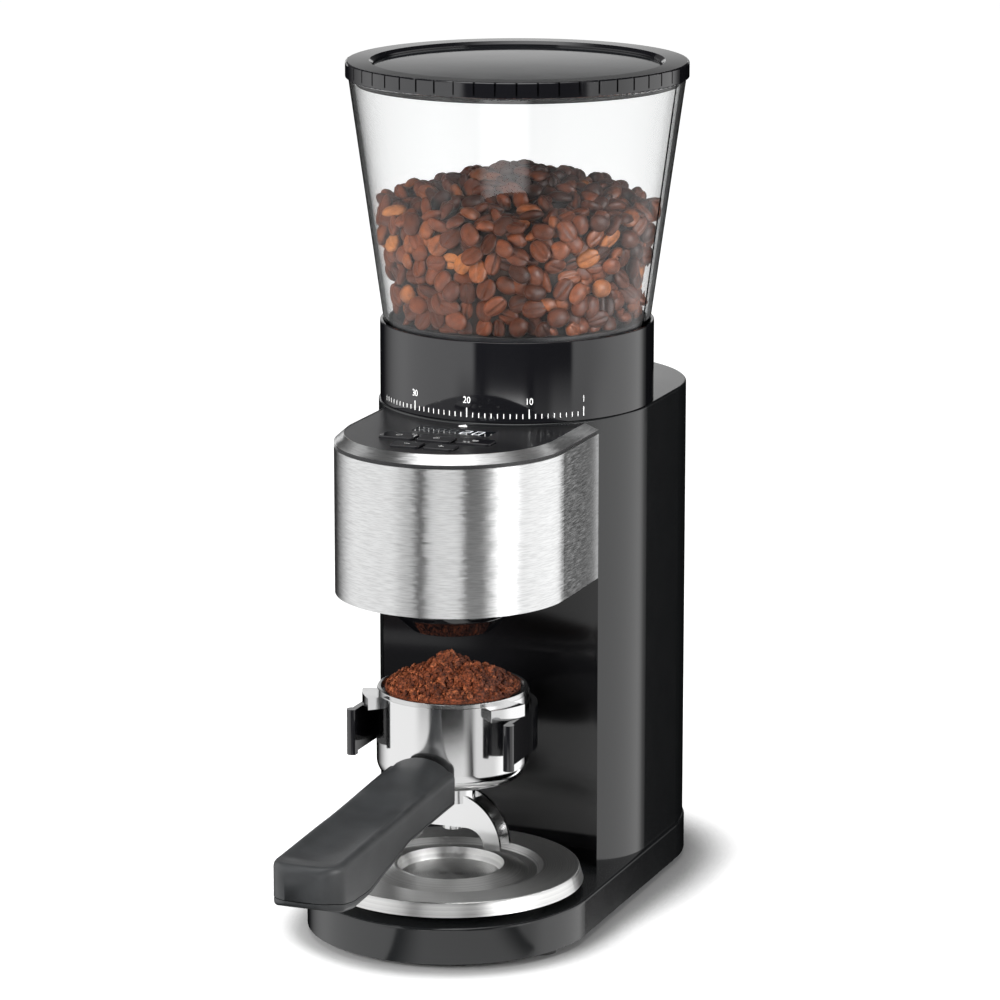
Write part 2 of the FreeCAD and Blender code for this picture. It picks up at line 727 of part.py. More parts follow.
def gear_shape(teeth, module, face, bore, phase):
    """A spur gear with involute flanks; one tooth's middle points along phase (radians)."""
    pitch = module * teeth / 2
    base = pitch * math.cos(PRESSURE_ANGLE)
    tip = pitch + module * 0.95
    root = pitch - module * 1.25
    start = max(root, base)
    radii = [start + (tip - start) * step / 3 for step in range(4)]
    outline = []
    for tooth in range(teeth):
        middle = phase + 2 * math.pi * tooth / teeth
        halves = [involute_half_angle(radius, pitch, base, teeth, module) for radius in radii]
        flank = list(zip([root] + radii, [halves[0]] + halves))
        outline += [(radius, middle - half) for radius, half in flank]
        outline += [(radius, middle + half) for radius, half in reversed(flank)]
    points = [Vector(radius * math.cos(angle), radius * math.sin(angle), 0) for radius, angle in outline]
    wheel = Part.Face(Part.makePolygon(points + [points[0]])).extrude(UPRIGHT * face)
    return wheel.cut(Part.makeCylinder(bore, face))


def mating_phase(phase, teeth, bearing, mating_teeth):
    """Phase of a gear that meshes with another, seen from it along the bearing (radians)."""
    own = math.pi - teeth * (bearing - phase)
    return bearing + math.pi - own / mating_teeth


def gear_phases():
    """Tooth phases of the pinion, the two idler gears and the output gear."""
    idler_x, idler_y = idler_place()
    to_idler = math.atan2(idler_y - number("motor_y"), idler_x)
    to_output = math.atan2(-idler_y, -idler_x)
    pinion = 0.0
    large = mating_phase(pinion, number("pinion_teeth"), to_idler, number("idler_large_teeth"))
    small = 0.0
    output = mating_phase(small, number("idler_small_teeth"), to_output, number("output_teeth"))
    return pinion, large, small, output


def gear_feature(name, shape, x, y, level):
    """A gear as a Part::Feature at its shaft; y is measured from the burr axis."""
    feature = doc.addObject("Part::Feature", name)
    feature.Shape = shape
    feature.Placement = FreeCAD.Placement(Vector(x, number("axis_y") + y, number(level)), FreeCAD.Rotation())
    return feature


def make_gears():
    idler_x, idler_y = idler_place()
    pinion_phase, large_phase, small_phase, output_phase = gear_phases()
    face = number("gear_face")
    gap = number("running_gap")
    fast, slow = number("fast_module"), number("slow_module")
    axle = number("idler_axle_radius") + gap
    pinion = gear_shape(int(number("pinion_teeth")), fast, face, number("motor_shaft_radius"), pinion_phase)
    large = gear_shape(int(number("idler_large_teeth")), fast, face, axle, large_phase)
    small = gear_shape(int(number("idler_small_teeth")), slow, face + 0.5, axle, small_phase)
    output = gear_shape(int(number("output_teeth")), slow, face, number("drive_radius"), output_phase)
    small.translate(UPRIGHT * face)
    idler = large.fuse(small).removeSplitter()
    keep("motor_pinion", gear_feature("MotorPinion", pinion, 0, number("motor_y"), "fast_level"))
    keep("idler_gear", gear_feature("IdlerGear", idler, idler_x, idler_y, "fast_level"))
    keep("output_gear", gear_feature("OutputGear", output, 0, 0, "slow_level"))


def gearbox_plan(name, bottom, top, offset):
    """Three joined discs that follow the gears, offset outwards."""
    idler_x, idler_y = idler_place()
    output = rod(name + "_output", "slow_module * (output_teeth / 2 + 1) + 0.8 + " + offset, bottom, top)
    idler = rod(name + "_idler", "fast_module * (idler_large_teeth / 2 + 1) + 0.6 + " + offset,
                bottom, top, idler_x, idler_y)
    pinion = rod(name + "_pinion", "fast_module * (pinion_teeth / 2 + 1) + 3 + " + offset,
                 bottom, top, 0, "motor_y")
    return fuse(name, [output, idler, pinion])


def make_gearbox():
    idler_x, idler_y = idler_place()
    outer = gearbox_plan("gearbox_outer", "gearbox_bottom", "gearbox_top", "gearbox_wall")
    inner = gearbox_plan("gearbox_inner", "gearbox_bottom + cover_thick", "gearbox_top", "0")
    bearing = rod("gearbox_bearing_hole", 9, "gearbox_bottom", "gearbox_top")
    motor = rod("gearbox_motor_hole", "motor_shaft_radius + 1", "gearbox_bottom", "gearbox_top", 0, "motor_y")
    axle = "idler_axle_radius"
    axle_hole = rod("gearbox_axle_hole", axle, "gearbox_bottom", "gearbox_top", idler_x, idler_y)
    keep("gearbox_housing", cut("GearboxHousing", outer, [inner, bearing, motor, axle_hole]))

    lid = gearbox_plan("gearbox_lid", "gearbox_top", "chamber_floor", "gearbox_wall")
    lid_bearing = rod("gearbox_lid_hole", 11, "gearbox_top", "chamber_floor")
    lid_axle = rod("gearbox_lid_axle", axle, "gearbox_top", "chamber_floor", idler_x, idler_y)
    keep("gearbox_cover", cut("GearboxCover", lid, [lid_bearing, lid_axle]))

    keep("idler_axle", rod("IdlerAxle", axle, "gearbox_bottom", "chamber_floor", idler_x, idler_y))
    bore = "drive_radius + running_gap"
    keep("lower_bearing", cut("LowerBearing", rod("lower_race", 9, "gearbox_bottom", "slow_level - 4"),
                              [rod("lower_race_bore", bore, "gearbox_bottom", "slow_level - 4")]))
    keep("upper_bearing", cut("UpperBearing", rod("upper_race", 11, "gearbox_top", "chute_floor"),
                              [rod("upper_race_bore", bore, "gearbox_top", "chute_floor")]))


def make_motor():
    shaft = "motor_shaft_radius"
    outer = rod("can_outer", "motor_radius", "motor_bottom", "gearbox_bottom", 0, "motor_y")
    inner = rod("can_inner", "motor_radius - motor_wall", "motor_bottom + can_end",
                "gearbox_bottom - can_end", 0, "motor_y")
    through = rod("can_bore", shaft + " + running_gap", "motor_bottom", "gearbox_bottom", 0, "motor_y")
    keep("motor_can", cut("MotorCan", outer, [inner, through]))
    shaft_rod = rod("rotor_shaft", shaft, "motor_bottom - 3", "fast_level + gear_face", 0, "motor_y")
    core = rod("rotor_core", "rotor_radius", "rotor_bottom", "rotor_top", 0, "motor_y")
    keep("motor_rotor", fuse("MotorRotor", [shaft_rod, core]))


def make_power_board():
    """A board with its filter coil and capacitor, between the front panel and the motor."""
    face = "power_back"
    board = block("power_sheet", "power_half", "power_back - 2", face, "power_bottom", "power_top")
    filter_coil = block("power_coil", 9, face, "power_back + 14",
                        "power_bottom + 6", "power_bottom + 24", -10)
    capacitor = block("power_capacitor", 8, face, "power_back + 13",
                      "power_top - 36", "power_top - 16", 11)
    keep("power_board", fuse("PowerBoard", [board, filter_coil, capacitor]))


# ---------------------------------------------------------------- burrs

def make_cone_burr():
    """The driven burr, with straight cutting grooves cut around its flank."""
    drop = number("cone_top - cone_bottom")
    slope = math.degrees(math.atan2(number("cone_low_radius - cone_high_radius"), drop))
    blank = doc.addObject("Part::Cone", "cone_blank")
    bind(blank, Radius1="cone_low_radius", Radius2="cone_high_radius", Height="cone_top - cone_bottom")
    place(blank, 0, 0, "cone_bottom")
    long, wide, deep = 60, 2.4, 1.6
    lean = 24
    grooves = []
    for index in range(CONE_GROOVES):
        cutter = Part.makeBox(long, deep, wide, Vector(-long / 2, -deep / 2, -wide / 2))
        cutter.rotate(Vector(), Vector(1, 0, 0), 90)
        cutter.rotate(Vector(), Vector(0, 1, 0), 90 + slope)
        cutter.rotate(Vector(), Vector(1, 0, 0), lean)
        reach = number("(cone_low_radius + cone_high_radius) / 2") + 0.2
        cutter.translate(Vector(reach, 0, number("(cone_top + cone_bottom) / 2")))
        cutter.rotate(Vector(), UPRIGHT, 360.0 * index / CONE_GROOVES)
        feature = doc.addObject("Part::Feature", "cone_groove")
        feature.Shape = cutter
        feature.Placement = FreeCAD.Placement(Vector(0, number("axis_y"), 0), FreeCAD.Rotation()).multiply(
            feature.Placement)
        grooves.append(feature)
    bore = rod("cone_bore", "drive_radius", "cone_bottom", "cone_top")
    keep("cone_burr", cut("ConeBurr", blank, grooves + [bore]))


def cone_radius(height):
    """Radius of the driven burr's cone at a height, as an expression."""
    slope = "(cone_low_radius - cone_high_radius) / (cone_top - cone_bottom)"
    return "cone_low_radius - (%s - cone_bottom) * %s" % (height, slope)


def make_ring_burr():
    profile = [
        (cone_radius("ring_bottom") + " + burr_gap", "ring_bottom"),
        ("ring_radius", "ring_bottom"),
        ("ring_radius", "ring_top"),
        (cone_radius("ring_top") + " + burr_gap", "ring_top"),
    ]
    keep("ring_burr", turned("RingBurr", profile))


def make_burr_carrier():
    profile = [
        ("ring_radius", "ring_bottom - 1"),
        ("carrier_radius", "ring_bottom - 1"),
        ("carrier_radius", "carrier_deck"),
        ("carrier_sleeve", "carrier_deck"),
        ("carrier_sleeve", "carrier_top"),
        ("carrier_sleeve - 2", "carrier_top"),
        ("carrier_sleeve - 6", "carrier_deck - 1"),
        ("throat_radius", "ring_top"),
        ("ring_radius", "ring_top"),
    ]
    keep("burr_carrier", turned("BurrCarrier", profile))


def make_drive_shaft():
    keep("drive_shaft", rod("DriveShaft", "drive_radius", "drive_bottom", "drive_top"))
    head = rod("bolt_head", 8, "cone_top", "drive_top + 4")
    keep("burr_bolt", cut("BurrBolt", head, [rod("bolt_bore", "drive_radius", "cone_top", "drive_top")]))


def make_sweeper():
    """Vanes under the burrs that push the grounds round to the outlet."""
    hub = rod("sweeper_hub", 12, "chute_floor + 1", "cone_bottom")
    vanes = [block("sweeper_vane_a", 38, -1.5, 1.5, "chute_floor + 1", "chute_floor + 9"),
             block("sweeper_vane_b", 1.5, -38, 38, "chute_floor + 1", "chute_floor + 9")]
    bore = rod("sweeper_bore", "drive_radius", "chute_floor + 1", "cone_bottom")
    keep("sweeper", cut("Sweeper", fuse("sweeper_body", [hub] + vanes), [bore]))


# ---------------------------------------------------------------- adjuster, collar and hopper

def make_adjuster():
    """The threaded ring that the collar turns; two dogs stand up into the collar's web."""
    outer = rod("adjuster_outer", "adjuster_radius", "adjuster_bottom", "adjuster_top")
    inner = rod("adjuster_inner", "carrier_sleeve + 0.3", "adjuster_bottom", "adjuster_top")
    dogs = [block("adjuster_dog_" + side, "dog_half", -5, 5, "adjuster_bottom", "dog_top", x)
            for side, x in (("left", "-dog_x"), ("right", "dog_x"))]
    keep("adjuster_ring", fuse("AdjusterRing", [cut("adjuster_plain", outer, [inner])] + dogs))


def make_scale_ring():
    inner = "collar_radius - collar_wall"
    profile = [
        ("web_bore", "web_bottom"),
        (inner, "web_bottom"),
        (inner, "collar_bottom"),
        ("collar_radius", "collar_bottom"),
        ("collar_radius", "collar_top"),
        ("collar_radius - 1.3", "collar_top"),
        (inner, "hopper_bottom"),
        ("floor_radius + 0.2", "hopper_bottom"),
        ("floor_radius + 0.2", "hopper_bottom - 2.5"),
        (inner, "hopper_bottom - 2.5"),
        (inner, "web_top"),
        ("web_bore", "web_top"),
    ]
    collar = turned("collar_turned", profile)
    round_turned(collar, 0.5, lambda edge: circle_at(edge, number("collar_radius"), number("collar_top")))
    slots = [block("collar_slot_" + side, "dog_half + 0.3", -5.3, 5.3, "web_bottom", "web_top", x)
             for side, x in (("left", "-dog_x"), ("right", "dog_x"))]
    keep("scale_ring", cut("ScaleRing", collar, slots))


def hopper_inner(height):
    """Inner radius of the hopper's cone at a height, as an expression."""
    slope = "(hopper_high_radius - hopper_low_radius) / (hopper_top - hopper_bottom)"
    return "hopper_low_radius - hopper_wall + (%s - hopper_bottom) * %s" % (height, slope)


def make_hopper():
    profile = [
        ("hopper_low_radius - hopper_wall", "hopper_bottom"),
        ("hopper_low_radius", "hopper_bottom"),
        ("hopper_high_radius", "hopper_top"),
        ("hopper_high_radius - hopper_wall", "hopper_top"),
    ]
    hopper = turned("Hopper", profile)
    round_turned(hopper, 0.6, lambda edge: level_edge(edge, number("hopper_top")))
    keep("hopper", hopper)


def make_hopper_floor():
    """The funnel that leads the beans down to the burrs."""
    profile = [
        ("throat_radius", "throat_bottom"),
        ("throat_radius + 2", "throat_bottom"),
        ("throat_radius + 2", "funnel_low - 2"),
        ("floor_radius - 2.5", "funnel_high - 3"),
        ("floor_radius - 2.5", "web_top"),
        ("floor_radius", "web_top"),
        ("floor_radius", "floor_top"),
        ("floor_radius - 2", "floor_top"),
        ("floor_radius - 2", "funnel_high"),
        ("throat_radius", "funnel_low"),
    ]
    keep("hopper_floor", turned("HopperFloor", profile))


def make_beans():
    """One closed solid for the beans, clear of the walls around it."""
    shelf = "floor_top + 0.7"
    profile = [
        (0, "funnel_low + 0.8"),
        ("throat_radius - 0.5", "funnel_low + 0.8"),
        ("floor_radius - 2.6", "funnel_high + 0.8"),
        ("floor_radius - 2.6", shelf),
        (hopper_inner(shelf) + " - 0.5", shelf),
        (hopper_inner("bean_level") + " - 0.5", "bean_level"),
        ("hopper_low_radius * 0.7", "bean_level + 9"),
        ("hopper_low_radius * 0.3", "bean_top - 2.5"),
        (0, "bean_top"),
    ]
    keep("bean_fill", turned("BeanFill", profile))


def make_lid():
    profile = [
        ("lid_skirt - 2.2", "lid_skirt_bottom"),
        ("lid_skirt", "lid_skirt_bottom"),
        ("lid_skirt", "lid_bottom"),
        ("lid_radius", "lid_bottom"),
        ("lid_radius", "lid_top"),
        ("lid_recess + 1.8", "lid_top"),
        ("lid_recess", "lid_top - 1.4"),
        ("lid_recess", "lid_recess_floor"),
        ("lid_recess - 8", "lid_recess_floor"),
        ("lid_recess - 8", "lid_bottom"),
        ("lid_skirt - 2.2", "lid_bottom"),
    ]
    rim = turned("LidRim", profile)
    round_turned(rim, 1.0, lambda edge: circle_at(edge, number("lid_radius"), number("lid_top")))
    cut_lid_grooves(rim)
    keep("lid_rim", rim)
    panel = turned("LidPanel", [(0, "lid_recess_floor"), ("lid_recess", "lid_recess_floor"),
                                ("lid_recess", "lid_panel_top"), (0, "lid_panel_top")])
    round_turned(panel, 0.8, lambda edge: circle_at(edge, number("lid_recess"), number("lid_panel_top")))
    keep("lid_panel", panel)
    keep("lid_seal", turned("LidSeal", [
        ("lid_skirt", "lid_bottom - 2.6"),
        ("lid_skirt + 0.8", "lid_bottom - 1.8"),
        ("lid_skirt", "lid_bottom - 1.0"),
    ]))


def cut_lid_grooves(rim):
    """Upright grooves around the lid's edge, cut once and repeated around the axis."""
    doc.recompute()
    solid = rim.Tip
    whole = solid.Shape.Volume
    corners = [
        ("lid_radius - groove_depth", "-groove_width / 2"),
        ("lid_radius + 1", "-groove_width / 2"),
        ("lid_radius + 1", "groove_width / 2"),
        ("lid_radius - groove_depth", "groove_width / 2"),
    ]
    sketch = closed_sketch(rim, "groove_outline", "XY_Plane", corners)
    sketch.AttachmentOffset = FreeCAD.Placement(Vector(0, 0, 1), FreeCAD.Rotation())
    sketch.setExpression("AttachmentOffset.Base.z", bound("lid_top + 1"))
    groove = rim.newObject("PartDesign::Pocket", "lid_groove")
    groove.Profile = sketch
    bind(groove, Length="lid_top - lid_bottom")
    pattern = rim.newObject("PartDesign::PolarPattern", "lid_groove_ring")
    pattern.Originals = [groove]
    pattern.Axis = (sketch, ["N_Axis"])
    pattern.Angle = 360
    pattern.Occurrences = LID_GROOVES
    rim.Tip = pattern
    doc.recompute()
    if rim.Shape.Volume >= whole:
        raise RuntimeError("the lid's grooves cut nothing")


# ---------------------------------------------------------------- portafilter and fork

def sector(name, inner, outer, bottom, height, middle, angle):
    """Part of a ring about the portafilter's axis, centred on a bearing in degrees."""
    def wedge(suffix, radius):
        piece = doc.addObject("Part::Cylinder", name + suffix)
        piece.Placement.Rotation = FreeCAD.Rotation(UPRIGHT, middle - number(angle) / 2)
        bind(piece, Radius=radius, Height=height, Angle=angle)
        return place(piece, 0, "filter_y", bottom)
    return cut(name, wedge("_outer", outer), [wedge("_inner", inner)])


def make_portafilter_body():
    profile = [
        (0, "cup_bottom"),
        ("cup_radius", "cup_bottom"),
        ("cup_radius", "cup_top"),
        ("cup_radius - cup_wall", "cup_top"),
        ("cup_radius - cup_wall", "cup_bottom + 13"),
        ("cup_radius - cup_wall - 9", "cup_bottom + 3.5"),
        (0, "cup_bottom + 3.5"),
    ]
    cup = turned("cup_turned", profile, y="filter_y")
    round_turned(cup, "cup_round", lambda edge: circle_at(edge, number("cup_radius"), number("cup_bottom")))
    lugs = [sector("lug_%d" % index, "cup_radius - 1", "lug_radius", "cup_top - lug_height",
                   "lug_height", bearing, "lug_angle")
            for index, bearing in enumerate(LUG_BEARINGS)]
    boss = lying_rod("stud_boss_rod", "stud_boss", "handle_near", "filter_y - cup_radius + 2", "stud_height")
    stud = lying_rod("stud_rod", "stud_radius", "stud_end", "handle_near", "stud_height")
    drain = rod("cup_drain", "coffee_bore", "cup_bottom - 1", "cup_bottom + 4", y="filter_y")
    keep("portafilter_body", cut("PortafilterBody", fuse("cup_with_lugs", [cup, boss, stud] + lugs), [drain]))


def make_filter_basket():
    profile = [
        (0, "basket_bottom"),
        ("basket_radius - 3", "basket_bottom"),
        ("basket_radius", "basket_bottom + 6"),
        ("basket_radius", "cup_top"),
        ("basket_flange", "cup_top"),
        ("basket_flange", "basket_top"),
        ("basket_flange - 1.6", "basket_top"),
        ("basket_flange - 2.2", "cup_top + basket_wall"),
        ("basket_radius - basket_wall", "cup_top + basket_wall"),
        ("basket_radius - basket_wall", "basket_bottom + 6"),
        ("basket_radius - 3 - basket_wall", "basket_bottom + basket_wall"),
        (0, "basket_bottom + basket_wall"),
    ]
    basket = turned("FilterBasket", profile, y="filter_y")
    round_turned(basket, 0.5, lambda edge: circle_at(edge, number("basket_flange"), number("basket_top")))
    keep("filter_basket", basket)


def make_grounds():
    """Ground coffee: the basket's filling and the heap on it, as one closed solid."""
    inner = "basket_radius - basket_wall - 0.2"
    profile = [
        (0, "basket_bottom + 8"),
        (inner, "basket_bottom + 8"),
        (inner, "cup_top + 1"),
        ("basket_flange - 2.6", "cup_top + 1.2"),
        ("basket_flange - 3.2", "basket_top + 0.6"),
        ("basket_flange * 0.6", "basket_top + 8"),
        ("basket_flange * 0.25", "heap_top - 1.8"),
        (0, "heap_top"),
    ]
    keep("coffee_grounds", turned("CoffeeGrounds", profile, y="filter_y"))


def spout_disc(name, radius, half_width, x, z):
    """A cylinder along Y, centred under the cup."""
    disc = doc.addObject("Part::Cylinder", name)
    disc.Placement.Rotation = FreeCAD.Rotation(Vector(1, 0, 0), 90)
    bind(disc, Radius=radius, Height="2 * (%s)" % half_width)
    return place(disc, x, "filter_y + (%s)" % half_width, z)


def spout_opening(name, offset, half_width):
    """The space under the spout, with round top corners, grown by an offset."""
    centre_x = "spout_inner - spout_corner"
    centre_z = "spout_under - spout_corner"
    radius = "spout_corner + " + offset
    sides = ("filter_y - (%s)" % half_width, "filter_y + (%s)" % half_width)
    low = "spout_centre - 1"
    wide = block(name + "_wide", "spout_inner + " + offset, sides[0], sides[1], low, centre_z)
    tall = block(name + "_tall", centre_x, sides[0], sides[1], low, "spout_under + " + offset)
    left = spout_disc(name + "_left", radius, half_width, "-(%s)" % centre_x, centre_z)
    right = spout_disc(name + "_right", radius, half_width, centre_x, centre_z)
    return fuse(name, [wide, tall, left, right])


def make_spout():
    """An open gutter that arches to both sides, under a hub with the coffee bore."""
    half = "spout_width / 2"
    disc = spout_disc("spout_round", "spout_outer", half, 0, "spout_centre")
    upper = block("spout_upper", "spout_outer", "filter_y - (%s)" % half, "filter_y + (%s)" % half,
                  "spout_centre", "spout_centre + spout_outer")
    outer = common("spout_arch", [disc, upper])
    gutter_half = "spout_width / 2 - spout_wall"
    gutter = cut("gutter", spout_disc("gutter_outer", "spout_outer + 1", gutter_half, 0, "spout_centre"),
                 [spout_opening("gutter_floor", "spout_floor", half)])
    channel = cut("spout_channel", outer, [spout_opening("spout_gap", "0", half + " + 1"), gutter])
    hub = rod("spout_hub_rod", "spout_hub", "spout_hub_bottom", "cup_bottom", y="filter_y")
    drop = rod("spout_drop_rod", "spout_drop_radius", "spout_drop", "spout_under + spout_floor", y="filter_y")
    bore = rod("spout_bore", "coffee_bore", "spout_under + spout_floor", "cup_bottom", y="filter_y")
    keep("spout", cut("Spout", fuse("spout_with_hub", [channel, hub, drop]), [bore]))


def make_handle():
    """A broad bar with a hollow top, round far corners and a separate inlay below its seam."""
    body = doc.addObject("PartDesign::Body", "handle_bar")
    side = [
        ("axis_y + handle_near", "handle_near_bottom"),
        ("axis_y + handle_near", "handle_near_top"),
        ("axis_y + handle_far", "handle_far_top"),
        ("axis_y + handle_far", "handle_far_bottom + 2.5"),
        ("axis_y + handle_far + 26", "handle_far_bottom"),
    ]
    sketch = closed_sketch(body, "handle_side", "YZ_Plane", side)
    pad = body.newObject("PartDesign::Pad", "handle_pad")
    pad.Profile = sketch
    pad.Midplane = True
    bind(pad, Length="handle_width")
    body.Tip = pad
    far_end = number("axis_y + handle_far")
    near_end = number("axis_y + handle_near")
    round_turned(body, "handle_end_round",
                 lambda edge: upright_edge(edge) and abs(edge.BoundBox.YMin - far_end) < 0.01)
    round_turned(body, "handle_edge_round", lambda edge: is_long_edge(edge, near_end))

    fall = number("handle_near_top - handle_far_top")
    slope = math.degrees(math.atan2(fall, number("handle_near - handle_far")))
    hollow = doc.addObject("Part::Cylinder", "thumb_hollow")
    hollow.Placement.Rotation = FreeCAD.Rotation(Vector(1, 0, 0), 90 + slope)
    bind(hollow, Radius="thumb_radius", Height="handle_near - handle_far - 14")
    place(hollow, 0, "handle_near - 6", "handle_near_top + thumb_radius - thumb_depth")
    bore = lying_rod("handle_bore", "stud_radius + running_gap", "stud_end - 2", "handle_near + 1",
                     "stud_height")
    shaped = cut("handle_shaped", body, [hollow, bore])

    seam = below_seam("handle_seam", "0")
    keep("handle", cut("Handle", shaped, [seam]))
    keep("handle_inlay", common("HandleInlay", [shaped, below_seam("handle_below_seam", "seam_gap")]))


def below_seam(name, gap):
    """The space under the handle's seam: the seam meets the underside near the cup."""
    depth = "30"
    rise = number("handle_near_bottom - handle_far_bottom - inlay_depth")
    slope = math.degrees(math.atan2(rise, number("handle_near - handle_far")))
    space = doc.addObject("Part::Box", name)
    space.Placement.Rotation = FreeCAD.Rotation(Vector(1, 0, 0), slope)
    bind(space, Length="2 * handle_width", Width="handle_near - handle_far + 64", Height=depth)
    top = "handle_far_bottom + inlay_depth - 0.4 - " + gap
    return place(space, "-handle_width", "handle_far - 10", top + " - " + depth)


def is_long_edge(edge, near_end):
    """True for the handle's top outline edges, but not its near end."""
    box = edge.BoundBox
    if upright_edge(edge) or abs(box.YMin - near_end) < 0.01:
        return False
    return box.ZMin > number("handle_far_top") - 0.01


def make_fork():
    """A U that is open to the front, joined to the column by a neck behind it."""
    outer = "fork_inner + fork_wall"
    arms = block("fork_arms", outer, "fork_front", "filter_y", "fork_bottom", "fork_top")
    ring = rod("fork_ring", outer, "fork_bottom", "fork_top", y="filter_y")
    bead_x = "fork_inner + fork_wall - 0.8"
    bead_bottom = "fork_bottom - fork_bead_drop"
    beads = [rod("fork_bead_" + side, "fork_bead", bead_bottom, "fork_top", x, "fork_front")
             for side, x in (("left", "-(%s)" % bead_x), ("right", bead_x))]
    neck = block("fork_neck", "fork_neck_half", "filter_y + fork_inner", "panel_centre + panel_radius",
                 "fork_bottom + 2", "fork_neck_top")
    panel_space = rod("fork_panel_space", "panel_radius", "fork_bottom", "fork_neck_top", y="panel_centre")
    low = "fork_bottom - 2 * fork_bead_drop"
    inside = rod("fork_inside", "fork_inner", low, "fork_top", y="filter_y")
    mouth = "filter_y - fork_inner - 2 * fork_wall"
    way_in = block("fork_way_in", "fork_inner", mouth, "filter_y", low, "fork_top")
    whole = fuse("fork_whole", [arms, ring, common("fork_neck_trimmed", [neck, panel_space])] + beads)
    keep("portafilter_fork", cut("PortafilterFork", whole, [inside, way_in]))


# ---------------------------------------------------------------- build, check and write

def build_all():
    make_base()
    make_feet()
    make_catch_plate()
    make_column()
    make_top_cover()
    make_cord_gland()
    make_head()
    make_bevel_trim()
    make_buttons()
    make_control_panel()
    make_control_board()
    make_pointer()
    make_outlet()
    make_chute()
    make_burr_chamber()
    make_gears()
    make_gearbox()
    make_motor()
    make_power_board()
    make_cone_burr()
    make_ring_burr()
    make_burr_carrier()
    make_drive_shaft()
    make_sweeper()
    make_adjuster()
    make_scale_ring()
    make_hopper()
    make_hopper_floor()
    make_beans()
    make_lid()
    make_portafilter_body()
    make_filter_basket()
    make_grounds()
    make_spout()
    make_handle()
    make_fork()


def check_document():
    """Stop if any feature failed or any sub-part's shape is not one sound solid."""
    doc.recompute()
    for thing in doc.Objects:
        if "Invalid" in thing.State or "Error" in thing.State:
            raise RuntimeError("feature failed: " + thing.Name)
    faults = []
    for node, thing in finished.items():
        shape = thing.Shape
        if shape.isNull() or not shape.isValid() or len(shape.Solids) != 1:
            faults.append("%s (%d solids)" % (node, len(shape.Solids)))
    if faults:
        raise RuntimeError("bad shapes: " + ", ".join(faults))


def write_parts():
    os.makedirs("parts", exist_ok=True)
    for node, thing in finished.items():
        thing.Shape.exportStep("parts/%s.step" % node)


build_all()
check_document()
write_parts()
print("%d sub-parts" % len(finished))
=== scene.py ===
import json
import math
import random

import bmesh
import bpy
from mathutils import Matrix, Vector, noise


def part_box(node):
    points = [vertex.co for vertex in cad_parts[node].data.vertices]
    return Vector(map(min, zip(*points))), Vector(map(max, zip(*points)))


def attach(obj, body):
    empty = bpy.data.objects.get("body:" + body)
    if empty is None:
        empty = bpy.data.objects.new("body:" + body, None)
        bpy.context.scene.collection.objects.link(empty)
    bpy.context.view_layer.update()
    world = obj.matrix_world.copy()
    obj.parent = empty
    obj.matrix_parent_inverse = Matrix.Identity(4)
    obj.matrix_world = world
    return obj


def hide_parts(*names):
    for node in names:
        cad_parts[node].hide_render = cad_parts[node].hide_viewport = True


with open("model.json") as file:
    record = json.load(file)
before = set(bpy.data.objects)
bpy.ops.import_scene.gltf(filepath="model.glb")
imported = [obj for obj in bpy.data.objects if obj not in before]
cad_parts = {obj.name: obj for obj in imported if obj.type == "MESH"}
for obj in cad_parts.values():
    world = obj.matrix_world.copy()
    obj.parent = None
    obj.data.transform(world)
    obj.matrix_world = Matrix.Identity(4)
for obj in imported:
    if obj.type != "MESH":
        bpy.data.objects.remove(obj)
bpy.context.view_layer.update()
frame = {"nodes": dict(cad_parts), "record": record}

MM = 0.001
nodes = frame["nodes"]


def centre_of(node):
    """Middle of a CAD node's box."""
    low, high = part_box(node)
    return (Vector(low) + Vector(high)) / 2


HOPPER_LOW, HOPPER_HIGH = [Vector(corner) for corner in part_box("hopper")]
AXIS = Vector((0, centre_of("scale_ring").y, 0))
COLLAR_LOW, COLLAR_HIGH = [Vector(corner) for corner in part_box("scale_ring")]
COLLAR_RADIUS = (COLLAR_HIGH.x - COLLAR_LOW.x) / 2
BASKET = Vector((0, centre_of("filter_basket").y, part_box("filter_basket")[1][2]))
PLATE = centre_of("catch_plate")


# ---------------------------------------------------------------- material helpers

